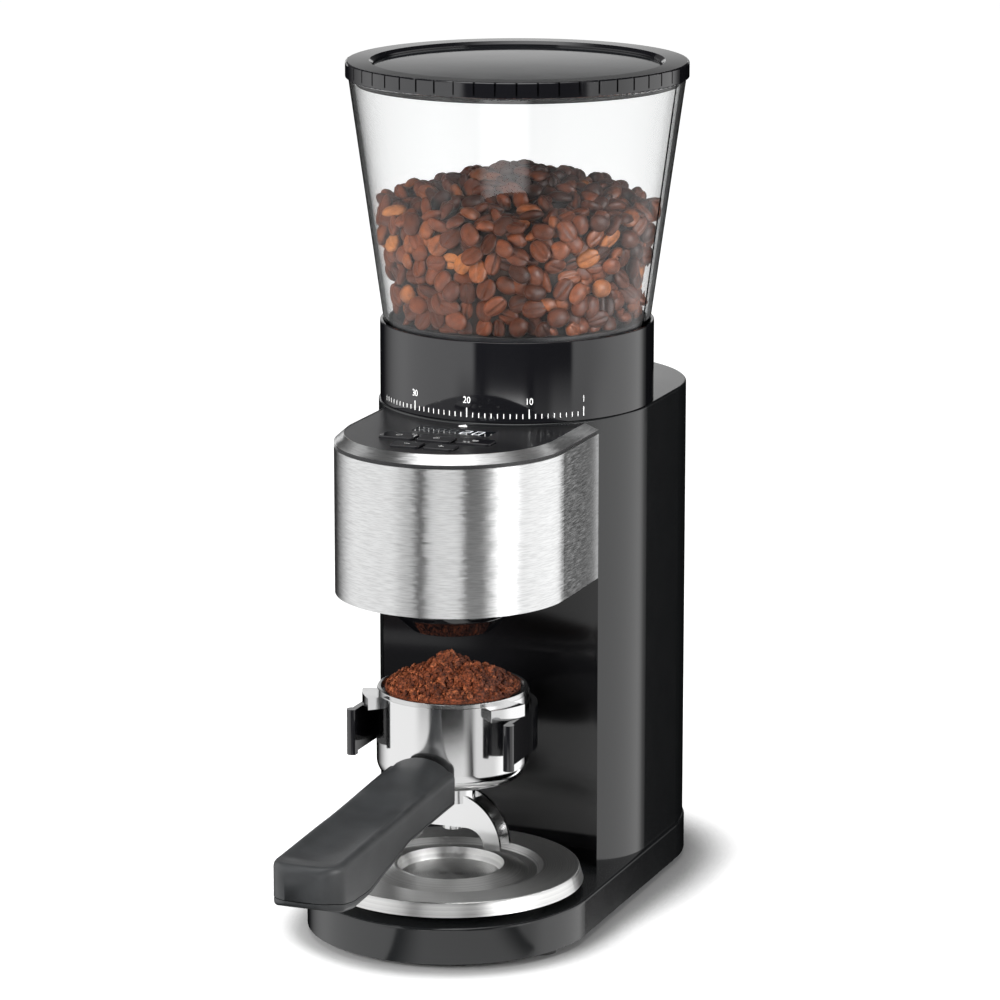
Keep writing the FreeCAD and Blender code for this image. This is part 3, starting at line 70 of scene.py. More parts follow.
class Shader:
    """One node material built round a Principled shader."""

    def __init__(self, name, color, rough, metal=0.0, **sockets):
        self.material = bpy.data.materials.new(name)
        self.material.use_nodes = True
        self.tree = self.material.node_tree
        self.surface = self.tree.nodes["Principled BSDF"]
        self.surface.inputs["Base Color"].default_value = (*color, 1)
        self.surface.inputs["Roughness"].default_value = rough
        self.surface.inputs["Metallic"].default_value = metal
        for socket, value in sockets.items():
            self.surface.inputs[socket.replace("_", " ")].default_value = value

    def node(self, kind, **settings):
        made = self.tree.nodes.new(kind)
        for name, value in settings.items():
            setattr(made, name, value)
        return made

    def link(self, source, target):
        self.tree.links.new(source, target)

    def place(self, stretch=(1, 1, 1), shift=(0, 0, 0)):
        """Object coordinates, stretched per axis."""
        coordinates = self.node("ShaderNodeTexCoord")
        mapping = self.node("ShaderNodeMapping")
        mapping.inputs["Scale"].default_value = stretch
        mapping.inputs["Location"].default_value = shift
        self.link(coordinates.outputs["Object"], mapping.inputs["Vector"])
        return mapping.outputs["Vector"]

    def noise(self, scale, detail=3.0, stretch=(1, 1, 1), rough=0.55):
        texture = self.node("ShaderNodeTexNoise")
        texture.inputs["Scale"].default_value = scale
        texture.inputs["Detail"].default_value = detail
        texture.inputs["Roughness"].default_value = rough
        self.link(self.place(stretch), texture.inputs["Vector"])
        return texture.outputs["Fac"]

    def ramp(self, source, *stops):
        """A colour ramp; each stop is (position, colour)."""
        ramp = self.node("ShaderNodeValToRGB")
        elements = ramp.color_ramp.elements
        while len(elements) < len(stops):
            elements.new(0.5)
        for element, (position, color) in zip(elements, stops):
            element.position = position
            element.color = (*color, 1)
        self.link(source, ramp.inputs["Fac"])
        return ramp.outputs["Color"]

    def spread(self, source, low, high):
        """Map 0..1 to low..high."""
        mapped = self.node("ShaderNodeMapRange")
        mapped.inputs["To Min"].default_value = low
        mapped.inputs["To Max"].default_value = high
        self.link(source, mapped.inputs["Value"])
        return mapped.outputs["Result"]

    def color(self, source):
        self.link(source, self.surface.inputs["Base Color"])

    def rough(self, source):
        self.link(source, self.surface.inputs["Roughness"])

    def bump(self, source, height, strength=1.0):
        bump = self.node("ShaderNodeBump")
        bump.inputs["Strength"].default_value = strength
        bump.inputs["Distance"].default_value = height
        self.link(source, bump.inputs["Height"])
        self.link(bump.outputs["Normal"], self.surface.inputs["Normal"])

    def around(self, centre):
        """Tangents that run round an upright axis through centre, with highlights spread across them."""
        self.surface.inputs["Anisotropic Rotation"].default_value = 0.25
        coordinates = self.node("ShaderNodeTexCoord")
        offset = self.node("ShaderNodeVectorMath", operation="SUBTRACT")
        offset.inputs[1].default_value = centre
        turn = self.node("ShaderNodeVectorMath", operation="CROSS_PRODUCT")
        turn.inputs[0].default_value = (0, 0, 1)
        self.link(coordinates.outputs["Object"], offset.inputs[0])
        self.link(offset.outputs["Vector"], turn.inputs[1])
        self.link(turn.outputs["Vector"], self.surface.inputs["Tangent"])
        return turn.outputs["Vector"]

    def tilt(self, along, source, most):
        """Turn the normal towards or away from a direction, by a share of it."""
        unit = self.node("ShaderNodeVectorMath", operation="NORMALIZE")
        lean = self.node("ShaderNodeVectorMath", operation="SCALE")
        total = self.node("ShaderNodeVectorMath", operation="ADD")
        surface = self.node("ShaderNodeNewGeometry")
        self.link(along, unit.inputs[0])
        self.link(unit.outputs["Vector"], lean.inputs[0])
        self.link(self.spread(source, -most, most), lean.inputs["Scale"])
        self.link(lean.outputs["Vector"], total.inputs[0])
        self.link(surface.outputs["Normal"], total.inputs[1])
        self.link(total.outputs["Vector"], self.surface.inputs["Normal"])


def gloss_plastic(name, color, rough, sheen=0.85):
    """Moulded glossy plastic with a faint unevenness in its gloss and surface."""
    shader = Shader(name, color, rough, Specular_IOR_Level=sheen)
    shader.rough(shader.spread(shader.noise(60, 4), rough * 0.85, rough * 1.2))
    shader.bump(shader.noise(30, 1), 0.00001, 0.5)
    return shader.material


def satin_plastic(name, color, rough, grain=2600):
    """Fine-grained moulded plastic."""
    shader = Shader(name, color, rough)
    low = tuple(channel * 0.85 for channel in color)
    high = tuple(channel * 1.15 for channel in color)
    shader.color(shader.ramp(shader.noise(90, 3), (0.35, low), (0.65, high)))
    shader.rough(shader.spread(shader.noise(grain / 2, 2), rough * 0.9, rough * 1.12))
    shader.bump(shader.noise(grain, 2), 0.00003, 0.6)
    return shader.material


def brushed_steel(name, color, rough, centre, anisotropy=0.85):
    """Steel brushed level round the head: short level scratches that lean a little sideways."""
    shader = Shader(name, color, rough, 1.0, Anisotropic=anisotropy)
    round_head = shader.around(centre)
    low = tuple(channel * 0.8 for channel in color)
    shader.color(shader.ramp(shader.noise(1, 3, stretch=(160, 160, 2600)), (0.36, low), (0.6, color)))
    shader.tilt(round_head, shader.noise(1, 3, stretch=(150, 150, 2000), rough=0.6), 0.1)
    return shader.material


def turned_steel(name, color, rough, centre):
    """Steel turned on a lathe: fine rings round the centre."""
    shader = Shader(name, color, rough, 1.0, Anisotropic=0.6)
    shader.around(centre)
    coordinates = shader.node("ShaderNodeTexCoord")
    offset = shader.node("ShaderNodeVectorMath", operation="SUBTRACT")
    offset.inputs[1].default_value = (centre[0], centre[1], 0)
    flat = shader.node("ShaderNodeVectorMath", operation="MULTIPLY")
    flat.inputs[1].default_value = (1, 1, 0)
    length = shader.node("ShaderNodeVectorMath", operation="LENGTH")
    rings = shader.node("ShaderNodeTexNoise", noise_dimensions="1D")
    rings.inputs["Scale"].default_value = 2200
    rings.inputs["Detail"].default_value = 3
    shader.link(coordinates.outputs["Object"], offset.inputs[0])
    shader.link(offset.outputs["Vector"], flat.inputs[0])
    shader.link(flat.outputs["Vector"], length.inputs[0])
    shader.link(length.outputs["Value"], rings.inputs["W"])
    low = tuple(channel * 0.8 for channel in color)
    shader.color(shader.ramp(rings.outputs["Fac"], (0.35, low), (0.65, color)))
    shader.rough(shader.spread(rings.outputs["Fac"], rough * 0.75, rough * 1.3))
    shader.bump(rings.outputs["Fac"], 0.00003, 0.5)
    return shader.material


def polished_metal(name, color, rough):
    """Polished metal with faint wiping marks."""
    shader = Shader(name, color, rough, 1.0)
    shader.rough(shader.spread(shader.noise(45, 5), rough * 0.6, rough * 1.6))
    shader.bump(shader.noise(55, 2), 0.00003, 0.5)
    return shader.material


def clear_plastic(name):
    """Clear plastic that casts no shadow on what it holds."""
    shader = Shader(name, (0.99, 0.995, 0.995), 0.0, Transmission_Weight=1.0, IOR=1.42)
    shader.rough(shader.spread(shader.noise(40, 3), 0.0, 0.02))
    path = shader.node("ShaderNodeLightPath")
    open_way = shader.node("ShaderNodeBsdfTransparent")
    mix = shader.node("ShaderNodeMixShader")
    shader.link(path.outputs["Is Shadow Ray"], mix.inputs["Fac"])
    shader.link(shader.surface.outputs["BSDF"], mix.inputs[1])
    shader.link(open_way.outputs["BSDF"], mix.inputs[2])
    shader.link(mix.outputs["Shader"], shader.tree.nodes["Material Output"].inputs["Surface"])
    return shader.material


def circuit_board(name):
    """Solder mask with paler tracks."""
    shader = Shader(name, (0.02, 0.12, 0.05), 0.35)
    shader.color(shader.ramp(shader.noise(420, 1), (0.48, (0.02, 0.12, 0.05)), (0.52, (0.04, 0.2, 0.08))))
    return shader.material


def print_ink(name, color, glow=0.0):
    """Printed or lit marks."""
    shader = Shader(name, color, 0.5)
    low = tuple(channel * 0.85 for channel in color)
    shader.color(shader.ramp(shader.noise(1500, 2), (0.3, low), (0.6, color)))
    if glow:
        shader.surface.inputs["Emission Color"].default_value = (0.85, 0.9, 0.95, 1)
        shader.surface.inputs["Emission Strength"].default_value = glow
    return shader.material


def multiplied(shader, first, second):
    """The product of two colours."""
    mix = shader.node("ShaderNodeMix", data_type="RGBA", blend_type="MULTIPLY")
    mix.inputs["Factor"].default_value = 1.0
    shader.link(first, mix.inputs["A"])
    shader.link(second, mix.inputs["B"])
    return mix.outputs["Result"]


def height_tone(shader, low, high, *stops):
    """A colour ramp up an object, from one height to another."""
    split = shader.node("ShaderNodeSeparateXYZ")
    rise = shader.node("ShaderNodeMapRange")
    rise.inputs["From Min"].default_value = low
    rise.inputs["From Max"].default_value = high
    shader.link(shader.place(), split.inputs["Vector"])
    shader.link(split.outputs["Z"], rise.inputs["Value"])
    return shader.ramp(rise.outputs["Result"], *stops)


def island_tones(shader, tone_pattern, *stops):
    """Each separate grain or bean has its own tone, times a pattern given by the caller; for the beans that
    pattern holds mottling and painted shade.
    """
    island = shader.node("ShaderNodeNewGeometry")
    tone = shader.ramp(island.outputs["Random Per Island"], *stops)
    shader.color(multiplied(shader, tone, tone_pattern))


# Depths below the top of the bean heap where the painted shade begins and where it is full.
PAINTED_SHADE_START_DEPTH = 24 * MM
PAINTED_SHADE_FULL_DEPTH = 6 * MM


def roasted_bean(name):
    """Roasted beans: red-brown, each with its own tone and a mottled skin, with painted shade darkening the
    top of the heap.
    """
    shader = Shader(name, (0.14, 0.045, 0.02), 0.4, Coat_Weight=0.12, Coat_Roughness=0.25)
    mottle_and_top_shade = shader.ramp(shader.noise(380, 4), (0.3, (0.55, 0.5, 0.48)), (0.7, (1.2, 1.15, 1.1)))
    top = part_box("bean_fill")[1][2]
    # Painted shade: the bean colour is darkened towards the top of the heap.
    painted_top_shade = height_tone(shader, top - PAINTED_SHADE_START_DEPTH, top - PAINTED_SHADE_FULL_DEPTH,
                        (0.0, (1.0, 1.0, 1.0)), (1.0, (0.32, 0.27, 0.25)))
    mottle_and_top_shade = multiplied(shader, mottle_and_top_shade, painted_top_shade)
    island_tones(shader, mottle_and_top_shade, (0.0, (0.03, 0.008, 0.003)), (0.3, (0.065, 0.017, 0.006)),
                 (0.8, (0.13, 0.036, 0.013)), (0.96, (0.19, 0.06, 0.02)), (1.0, (0.32, 0.12, 0.035)))
    shader.bump(shader.noise(800, 4), 0.00025, 0.5)
    return shader.material


def bean_shade(name):
    """Painted shade: the beans deep behind the outer layer, coloured near-black because hardly any light
    comes there.
    """
    shader = Shader(name, (0.012, 0.005, 0.003), 0.8)
    shader.color(shader.ramp(shader.noise(160, 3), (0.4, (0.004, 0.002, 0.001)), (0.7, (0.02, 0.008, 0.004))))
    return shader.material


def ground_coffee(name):
    """Ground coffee: dark grains with red-brown faces."""
    shader = Shader(name, (0.14, 0.045, 0.02), 0.8)
    grain = shader.ramp(shader.noise(900, 6, rough=0.75), (0.38, (0.12, 0.1, 0.09)),
                        (0.52, (0.95, 0.9, 0.85)), (0.66, (2.1, 1.9, 1.75)))
    island_tones(shader, grain, (0.0, (0.06, 0.017, 0.008)), (0.5, (0.13, 0.036, 0.016)),
                 (1.0, (0.22, 0.07, 0.03)))
    shader.bump(shader.noise(1300, 5), 0.0007, 1.0)
    return shader.material


WRAP_LOW, WRAP_HIGH = [Vector(corner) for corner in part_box("steel_wrap")]
HEAD_CENTRE = (0, WRAP_LOW.y + (WRAP_HIGH.x - WRAP_LOW.x) / 2, 0)

MATERIALS = {
    "black_gloss": gloss_plastic("black_gloss", (0.005, 0.005, 0.006), 0.055, 1.0),
    "shell_grey": gloss_plastic("shell_grey", (0.007, 0.0075, 0.008), 0.13, 0.8),
    "matte_black": satin_plastic("matte_black", (0.012, 0.012, 0.013), 0.4),
    "brushed_wrap": brushed_steel("brushed_wrap", (0.88, 0.885, 0.885), 0.28, HEAD_CENTRE),
    "turned_plate": turned_steel("turned_plate", (0.9, 0.9, 0.89), 0.36, tuple(PLATE)),
    "chrome_cup": polished_metal("chrome_cup", (0.86, 0.86, 0.86), 0.1),
    "basket_steel": polished_metal("basket_steel", (0.72, 0.72, 0.72), 0.14),
    "handle_black": satin_plastic("handle_black", (0.019, 0.02, 0.021), 0.42),
    "inlay_black": satin_plastic("inlay_black", (0.017, 0.018, 0.019), 0.42),
    "clear_plastic": clear_plastic("clear_plastic"),
    "coffee_bean": roasted_bean("coffee_bean"),
    "ground_coffee": ground_coffee("ground_coffee"),
    "rubber_black": satin_plastic("rubber_black", (0.012, 0.012, 0.012), 0.75, 900),
    "display_dark": gloss_plastic("display_dark", (0.004, 0.005, 0.006), 0.05, 0.5),
    "mark_white": print_ink("mark_white", (0.88, 0.88, 0.87)),
    "circuit_green": circuit_board("circuit_green"),
    "gear_nylon": satin_plastic("gear_nylon", (0.72, 0.71, 0.65), 0.45),
    "tool_steel": polished_metal("tool_steel", (0.5, 0.5, 0.51), 0.28),
    "bearing_bronze": polished_metal("bearing_bronze", (0.6, 0.4, 0.18), 0.3),
    "motor_steel": polished_metal("motor_steel", (0.42, 0.43, 0.45), 0.38),
}
PANEL_SATIN = satin_plastic("panel_satin", (0.008, 0.008, 0.009), 0.3)
FRONT_SATIN = gloss_plastic("front_satin", (0.004, 0.004, 0.0045), 0.14, 0.4)
LID_SATIN = gloss_plastic("lid_satin", (0.01, 0.011, 0.012), 0.06, 0.8)
NODE_FINISH = {"control_panel": PANEL_SATIN, "front_panel": FRONT_SATIN, "lid_panel": LID_SATIN}
DISPLAY_GLOW = print_ink("display_glow", (0.8, 0.82, 0.84), 0.4)
DISPLAY_FAINT = print_ink("display_faint", (0.07, 0.075, 0.08))
# Near-black painted shade for the beans deep in the hopper.
BEAN_PAINTED_SHADE = bean_shade("bean_shade")


def dress_nodes():
    """Give every CAD node the material of its slot, or its own finish where it has one."""
    slots = {entry["node"]: entry["material_slot"] for entry in frame["record"]["subparts"]}
    for name, piece in nodes.items():
        material = NODE_FINISH.get(name, MATERIALS[slots[name]])
        if not piece.material_slots:
            piece.data.materials.append(material)
        for place in piece.material_slots:
            place.material = material


# ---------------------------------------------------------------- mesh helpers

def add_piece(name, vertices, faces, body, slot, material=None, smooth=True):
    """A mesh piece that rides on a body and takes the finish of a slot, or a material of its own."""
    mesh = bpy.data.meshes.new(name)
    mesh.from_pydata(vertices, [], faces)
    mesh.update()
    if smooth:
        mesh.polygons.foreach_set("use_smooth", [True] * len(mesh.polygons))
    piece = bpy.data.objects.new(name, mesh)
    bpy.context.collection.objects.link(piece)
    mesh.materials.append(material or MATERIALS[slot])
    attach(piece, body)
    return piece


def text_outline(words, height):
    """Vertices and faces of a line of figures, centred, lying in XY, in metres."""
    curve = bpy.data.curves.new("figures", "FONT")
    curve.body = words
    curve.size = height / 0.7
    curve.align_x = "CENTER"
    curve.align_y = "CENTER"
    curve.resolution_u = 4
    carrier = bpy.data.objects.new("figures", curve)
    bpy.context.collection.objects.link(carrier)
    mesh = bpy.data.meshes.new_from_object(carrier.evaluated_get(bpy.context.evaluated_depsgraph_get()))
    vertices = [vertex.co.copy() for vertex in mesh.vertices]
    faces = [tuple(polygon.vertices) for polygon in mesh.polygons]
    bpy.data.objects.remove(carrier)
    bpy.data.meshes.remove(mesh)
    return vertices, faces


class Pile:
    """Gathers many small shapes into one mesh."""

    def __init__(self):
        self.vertices = []
        self.faces = []

    def add(self, vertices, faces):
        start = len(self.vertices)
        self.vertices += vertices
        self.faces += [tuple(start + index for index in face) for face in faces]


# ---------------------------------------------------------------- grinding scale

SCALE_STEP = math.radians(2.6)
SCALE_FRONT = 20
SCALE_LAST = 39
TICK_FOOT = COLLAR_LOW.z + 2.0 * MM
PRINT_LIFT = 0.05 * MM


def on_collar(angle, height, lift=PRINT_LIFT):
    """A point on the collar's face."""
    radius = COLLAR_RADIUS + lift
    return Vector((AXIS.x + radius * math.cos(angle), AXIS.y + radius * math.sin(angle), height))


def scale_angle(step):
    return -math.pi / 2 + (SCALE_FRONT - step) * SCALE_STEP


def make_scale():
    """Ticks 1 to 39 with numbers at 1, 10, 20 and 30, printed on the collar."""
    pile = Pile()
    for step in range(1, SCALE_LAST + 1):
        major = step == 1 or step % 10 == 0
        tall = (4.4 if major else 2.2) * MM
        half = (0.24 if major else 0.19) * MM / COLLAR_RADIUS
        angle = scale_angle(step)
        corners = [on_collar(angle - half, TICK_FOOT), on_collar(angle + half, TICK_FOOT),
                   on_collar(angle + half, TICK_FOOT + tall), on_collar(angle - half, TICK_FOOT + tall)]
        pile.add(corners, [(0, 1, 2, 3)])
        if major:
            figures, faces = text_outline(str(step), 3.1 * MM)
            middle = TICK_FOOT + tall + 3.5 * MM
            bent = [on_collar(angle + point.x * 0.86 / COLLAR_RADIUS, middle + point.y) for point in figures]
            pile.add(bent, faces)
    add_piece("scale_print", pile.vertices, pile.faces, "hopper_unit", "mark_white", smooth=False)


# ---------------------------------------------------------------- control panel

def flat_strip(pile, points, width, height):
    """A thin line of print along points in the plan, at one height."""
    for start, end in zip(points, points[1:]):
        along = (Vector(end) - Vector(start)).normalized()
        side = Vector((-along.y, along.x)) * width / 2
        reach = along * width * 0.3
        a, b = Vector(start) - reach, Vector(end) + reach
        corners = [a - side, b - side, b + side, a + side]
        pile.add([Vector((point.x, point.y, height)) for point in corners], [(0, 1, 2, 3)])


def ring_points(x, y, radius, start=0.0, sweep=2 * math.pi, count=20):
    """Points along an arc, or round a whole circle, as (x, y)."""
    return [(x + radius * math.cos(start + sweep * step / count),
             y + radius * math.sin(start + sweep * step / count))
            for step in range(count + 1)]


def button_middle(node):
    """Middle of a button's top face."""
    low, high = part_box(node)
    return (low[0] + high[0]) / 2, (low[1] + high[1]) / 2, high[2]


ICON_LINE = 0.32 * MM


def icon_strokes(node, x, y):
    """Plain signs: a dot in a ring, an on-off sign, three lines, minus and plus."""
    arm = 1.3 * MM
    if node == "button_left":
        return [ring_points(x, y, arm), ring_points(x, y, 0.25 * MM, count=8)]
    if node == "button_centre":
        return [ring_points(x, y, arm, math.radians(120), math.radians(300)), [(x, y), (x, y + arm * 1.2)]]
    if node == "button_right":
        return [[(x - arm, y + shift), (x + arm, y + shift)] for shift in (-0.9 * MM, 0, 0.9 * MM)]
    if node == "button_minus":
        return [[(x - arm, y), (x + arm, y)]]
    return [[(x - arm, y), (x + arm, y)], [(x, y - arm), (x, y + arm)]]


def make_icons():
    for node in ("button_left", "button_centre", "button_right", "button_minus", "button_plus"):
        x, y, top = button_middle(node)
        pile = Pile()
        for stroke in icon_strokes(node, x, y):
            flat_strip(pile, stroke, ICON_LINE, top + PRINT_LIFT)
        add_piece(node + "_sign", pile.vertices, pile.faces, node + "_body", "mark_white", smooth=False)


SEGMENTS = {"2": "abged", "0": "abcdef", "8": "abcdefg"}
SEGMENT_ENDS = {
    "a": ((0, 2), (1, 2)), "b": ((1, 2), (1, 1)), "c": ((1, 1), (1, 0)), "d": ((0, 0), (1, 0)),
    "e": ((0, 0), (0, 1)), "f": ((0, 1), (0, 2)), "g": ((0, 1), (1, 1)),
}
SEGMENT_WIDTH = 3.4 * MM
SEGMENT_RISE = 3.3 * MM
SEGMENT_LEAN = 0.3 * MM


def display_figures(name, figures, material):
    """Seven-segment figures on the display; each is a figure and its left edge."""
    low, high = [Vector(corner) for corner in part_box("lcd_window")]
    foot = (low.y + high.y) / 2 - SEGMENT_RISE
    pile = Pile()
    for figure, left in figures:
        for segment in SEGMENTS[figure]:
            stroke = [(low.x + left * MM + u * SEGMENT_WIDTH + v * SEGMENT_LEAN, foot + v * SEGMENT_RISE)
                      for u, v in SEGMENT_ENDS[segment]]
            flat_strip(pile, stroke, 0.6 * MM, high.z + PRINT_LIFT)
    add_piece(name, pile.vertices, pile.faces, "housing", "mark_white", material, smooth=False)


def make_display():
    """A lit 20 at the right of the display, and unlit figures to its left."""
    display_figures("display_figures", [("2", 23), ("0", 29)], DISPLAY_GLOW)
    display_figures("display_unlit", [("8", 3.5), ("8", 10), ("8", 16)], DISPLAY_FAINT)


# ---------------------------------------------------------------- coffee beans

BEAN_HALF = Vector((5.3, 4.2, 3.3)) * MM
BEAN_RINGS = 9
BEAN_BEARINGS = [0, 30, 60, 88, 112, 136, 156, 171, 180, 189, 204, 224, 248, 272, 300, 330]


def bean_template():
    """One bean along X: round back, flat face with a groove along it."""
    vertices = [Vector((-BEAN_HALF.x, 0, -0.1 * MM))]
    for ring in range(1, BEAN_RINGS):
        turn = math.pi * ring / BEAN_RINGS
        girth = math.sin(turn) ** 0.8
        for bearing in BEAN_BEARINGS:
            angle = math.radians(bearing)
            y = BEAN_HALF.y * girth * math.sin(angle)
            z = BEAN_HALF.z * girth * math.cos(angle)
            if bearing > 90 and bearing < 270:
                z *= 0.5
            if bearing == 180:
                z += 1.25 * MM * girth
            vertices.append(Vector((-BEAN_HALF.x * math.cos(turn), y, z)))
    vertices.append(Vector((BEAN_HALF.x, 0, -0.1 * MM)))
    count = len(BEAN_BEARINGS)
    last = len(vertices) - 1
    faces = []
    for index in range(count):
        following = (index + 1) % count
        faces.append((0, 1 + following, 1 + index))
        for ring in range(BEAN_RINGS - 2):
            near = 1 + ring * count
            far = near + count
            faces.append((near + index, near + following, far + following, far + index))
        top = 1 + (BEAN_RINGS - 2) * count
        faces.append((last, top + index, top + following))
    return vertices, faces


HOPPER_FLARE = 17.7 * MM
HOPPER_WALL = 2.2 * MM


def hopper_inside(height):
    """Inner radius of the hopper at a height."""
    low_radius = (HOPPER_HIGH.x - HOPPER_LOW.x) / 2 - HOPPER_FLARE - HOPPER_WALL
    rise = (height - HOPPER_LOW.z) / (HOPPER_HIGH.z - HOPPER_LOW.z)
    return low_radius + HOPPER_FLARE * rise


BEAN_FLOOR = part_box("hopper_floor")[1][2] + 0.2 * MM
BEAN_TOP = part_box("bean_fill")[1][2]
BEAN_LEVEL = BEAN_TOP - 20.5 * MM
BEAN_SPACING = 6.5 * MM
BEAN_TRIES = 120000


def bean_surface(x, y):
    """Height of the bean heap at a place, measured from the hopper's axis."""
    reach = math.hypot(x, y) / (68 * MM)
    crown = max(0.0, 1 - reach ** 1.5) ** 1.1
    ripple = noise.noise(Vector((x, y, 0.3)) / (22 * MM)) * 2.6 * MM
    return BEAN_LEVEL + (BEAN_TOP - BEAN_LEVEL - 1.5 * MM) * crown + ripple * (1 - 0.4 * reach)


def scatter_beans(rng):
    """Places in the layer against the wall and in the layer at the top, kept apart."""
    cells = {}
    places = []
    radius = hopper_inside(BEAN_LEVEL)
    for _ in range(BEAN_TRIES):
        x = rng.uniform(-radius, radius)
        y = rng.uniform(-radius, radius)
        z = rng.uniform(BEAN_FLOOR + 1.5 * MM, BEAN_TOP)
        wall_depth = hopper_inside(z) - math.hypot(x, y)
        top_depth = bean_surface(x, y) - z
        if wall_depth < 3.9 * MM or top_depth < 2.5 * MM:
            continue
        if wall_depth > 10 * MM and top_depth > 12 * MM:
            continue
        key = (int(x // BEAN_SPACING), int(y // BEAN_SPACING), int(z // BEAN_SPACING))
        point = Vector((x, y, z))
        near = [other for dx in (-1, 0, 1) for dy in (-1, 0, 1) for dz in (-1, 0, 1)
                for other in cells.get((key[0] + dx, key[1] + dy, key[2] + dz), ())]
        if any((point - other).length < BEAN_SPACING for other in near):
            continue
        cells.setdefault(key, []).append(point)
        places.append((point, wall_depth, top_depth))
    return places


def bean_pose(rng, point, wall_depth, top_depth):
    """A rotation for a bean: flat to the wall beside it, or loosely flat on the heap."""
    outward = Vector((point.x, point.y, 0)).normalized()
    if wall_depth < top_depth:
        facing = outward if rng.random() < 0.5 else -outward
        tilt = 0.35
    else:
        facing = Vector((0, 0, 1)) if rng.random() < 0.5 else Vector((0, 0, -1))
        tilt = 0.75
    wobble = Vector((rng.gauss(0, tilt), rng.gauss(0, tilt), rng.gauss(0, tilt)))
    facing = (facing + wobble).normalized()
    spin = Matrix.Rotation(rng.uniform(0, 2 * math.pi), 4, "Z")
    return facing.to_track_quat("Z", "Y").to_matrix().to_4x4() @ spin


def keep_inside(point):
    """Pull a vertex back inside the hopper's wall."""
    limit = hopper_inside(point.z) - 0.25 * MM
    reach = math.hypot(point.x, point.y)
    if reach > limit:
        point.x *= limit / reach
        point.y *= limit / reach
    point.z = max(point.z, BEAN_FLOOR)
    return point


def make_beans():
    rng = random.Random(7)
    template, faces = bean_template()
    pile = Pile()
    for point, wall_depth, top_depth in scatter_beans(rng):
        size = rng.uniform(0.97, 1.12)
        shape = Matrix.Diagonal((size * rng.uniform(0.9, 1.06), size, size * rng.uniform(0.9, 1.1), 1))
        place = Matrix.Translation(point) @ bean_pose(rng, point, wall_depth, top_depth) @ shape
        pile.add([keep_inside(place @ vertex) + AXIS for vertex in template], faces)
    beans = add_piece("beans", pile.vertices, pile.faces, "hopper_unit", "coffee_bean")
    heart = make_bean_heart()
    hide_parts("bean_fill")
    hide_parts("bean_fill")


def make_bean_heart():
    """The beans behind the outer layer, as one lumpy mass coloured near-black as painted shade."""
    around, rows = 96, 26
    inset = 8.0 * MM
    vertices = []
    for row in range(rows + 1):
        share = row / rows
        for step in range(around):
            angle = 2 * math.pi * step / around
            if share < 0.55:
                height = BEAN_FLOOR + (BEAN_LEVEL - 5 * MM - BEAN_FLOOR) * share / 0.55
                radius = hopper_inside(height) - inset
            else:
                radius = (hopper_inside(BEAN_LEVEL) - inset) * (1 - share) / 0.45
                height = bean_surface(radius * math.cos(angle), radius * math.sin(angle)) - 8 * MM
            point = Vector((radius * math.cos(angle), radius * math.sin(angle), height))
            lump = noise.noise(point / (6 * MM)) * 1.3 * MM
            vertices.append(point + point.normalized() * lump + AXIS)
    faces = [(row * around + step, row * around + (step + 1) % around,
              (row + 1) * around + (step + 1) % around, (row + 1) * around + step)
             for row in range(rows) for step in range(around)]
    faces.append(tuple(range(around - 1, -1, -1)))
    return add_piece("bean_heart", vertices, faces, "hopper_unit", "coffee_bean", BEAN_PAINTED_SHADE)


# ---------------------------------------------------------------- ground coffee

GROUNDS_RADIUS = 31.5 * MM
GROUNDS_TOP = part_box("coffee_grounds")[1][2]


def grounds_surface(x, y):
    """Height of the heap of grounds, measured from the basket's axis."""
    reach = min(1.0, math.hypot(x, y) / GROUNDS_RADIUS)
    crown = (1 - reach) ** 0.92 * (1 - 0.18 * reach)
    peak = (GROUNDS_TOP - BASKET.z - 1.2 * MM) * crown
    place = Vector((x, y, 0.1))
    lumps = noise.noise(place / (11 * MM)) * 4.2 + noise.noise(place / (3.6 * MM)) * 2.0
    grains = noise.noise(place / (1.7 * MM)) * 0.8 + noise.noise(place / (0.8 * MM)) * 0.4
    fade = min(1.0, (1 - reach) * 3 + 0.3)
    return BASKET.z - 0.4 * MM + peak + (lumps + grains) * fade * 0.85 * MM


def clump(rng, radius):
    """A small rough grain."""
    shape = bmesh.new()
    bmesh.ops.create_icosphere(shape, subdivisions=1, radius=radius)
    seed = rng.uniform(0, 50)
    for vertex in shape.verts:
        vertex.co *= 1 + 0.55 * noise.noise(vertex.co / radius + Vector((seed, 0, 0)))
    vertices = [vertex.co.copy() for vertex in shape.verts]
    faces = [tuple(vertex.index for vertex in face.verts) for face in shape.faces]
    shape.free()
    return vertices, faces


GROUNDS_FOOT_RADIUS = 29 * MM
GROUNDS_FOOT_DEPTH = 10 * MM
GRAIN_COUNT = 2200


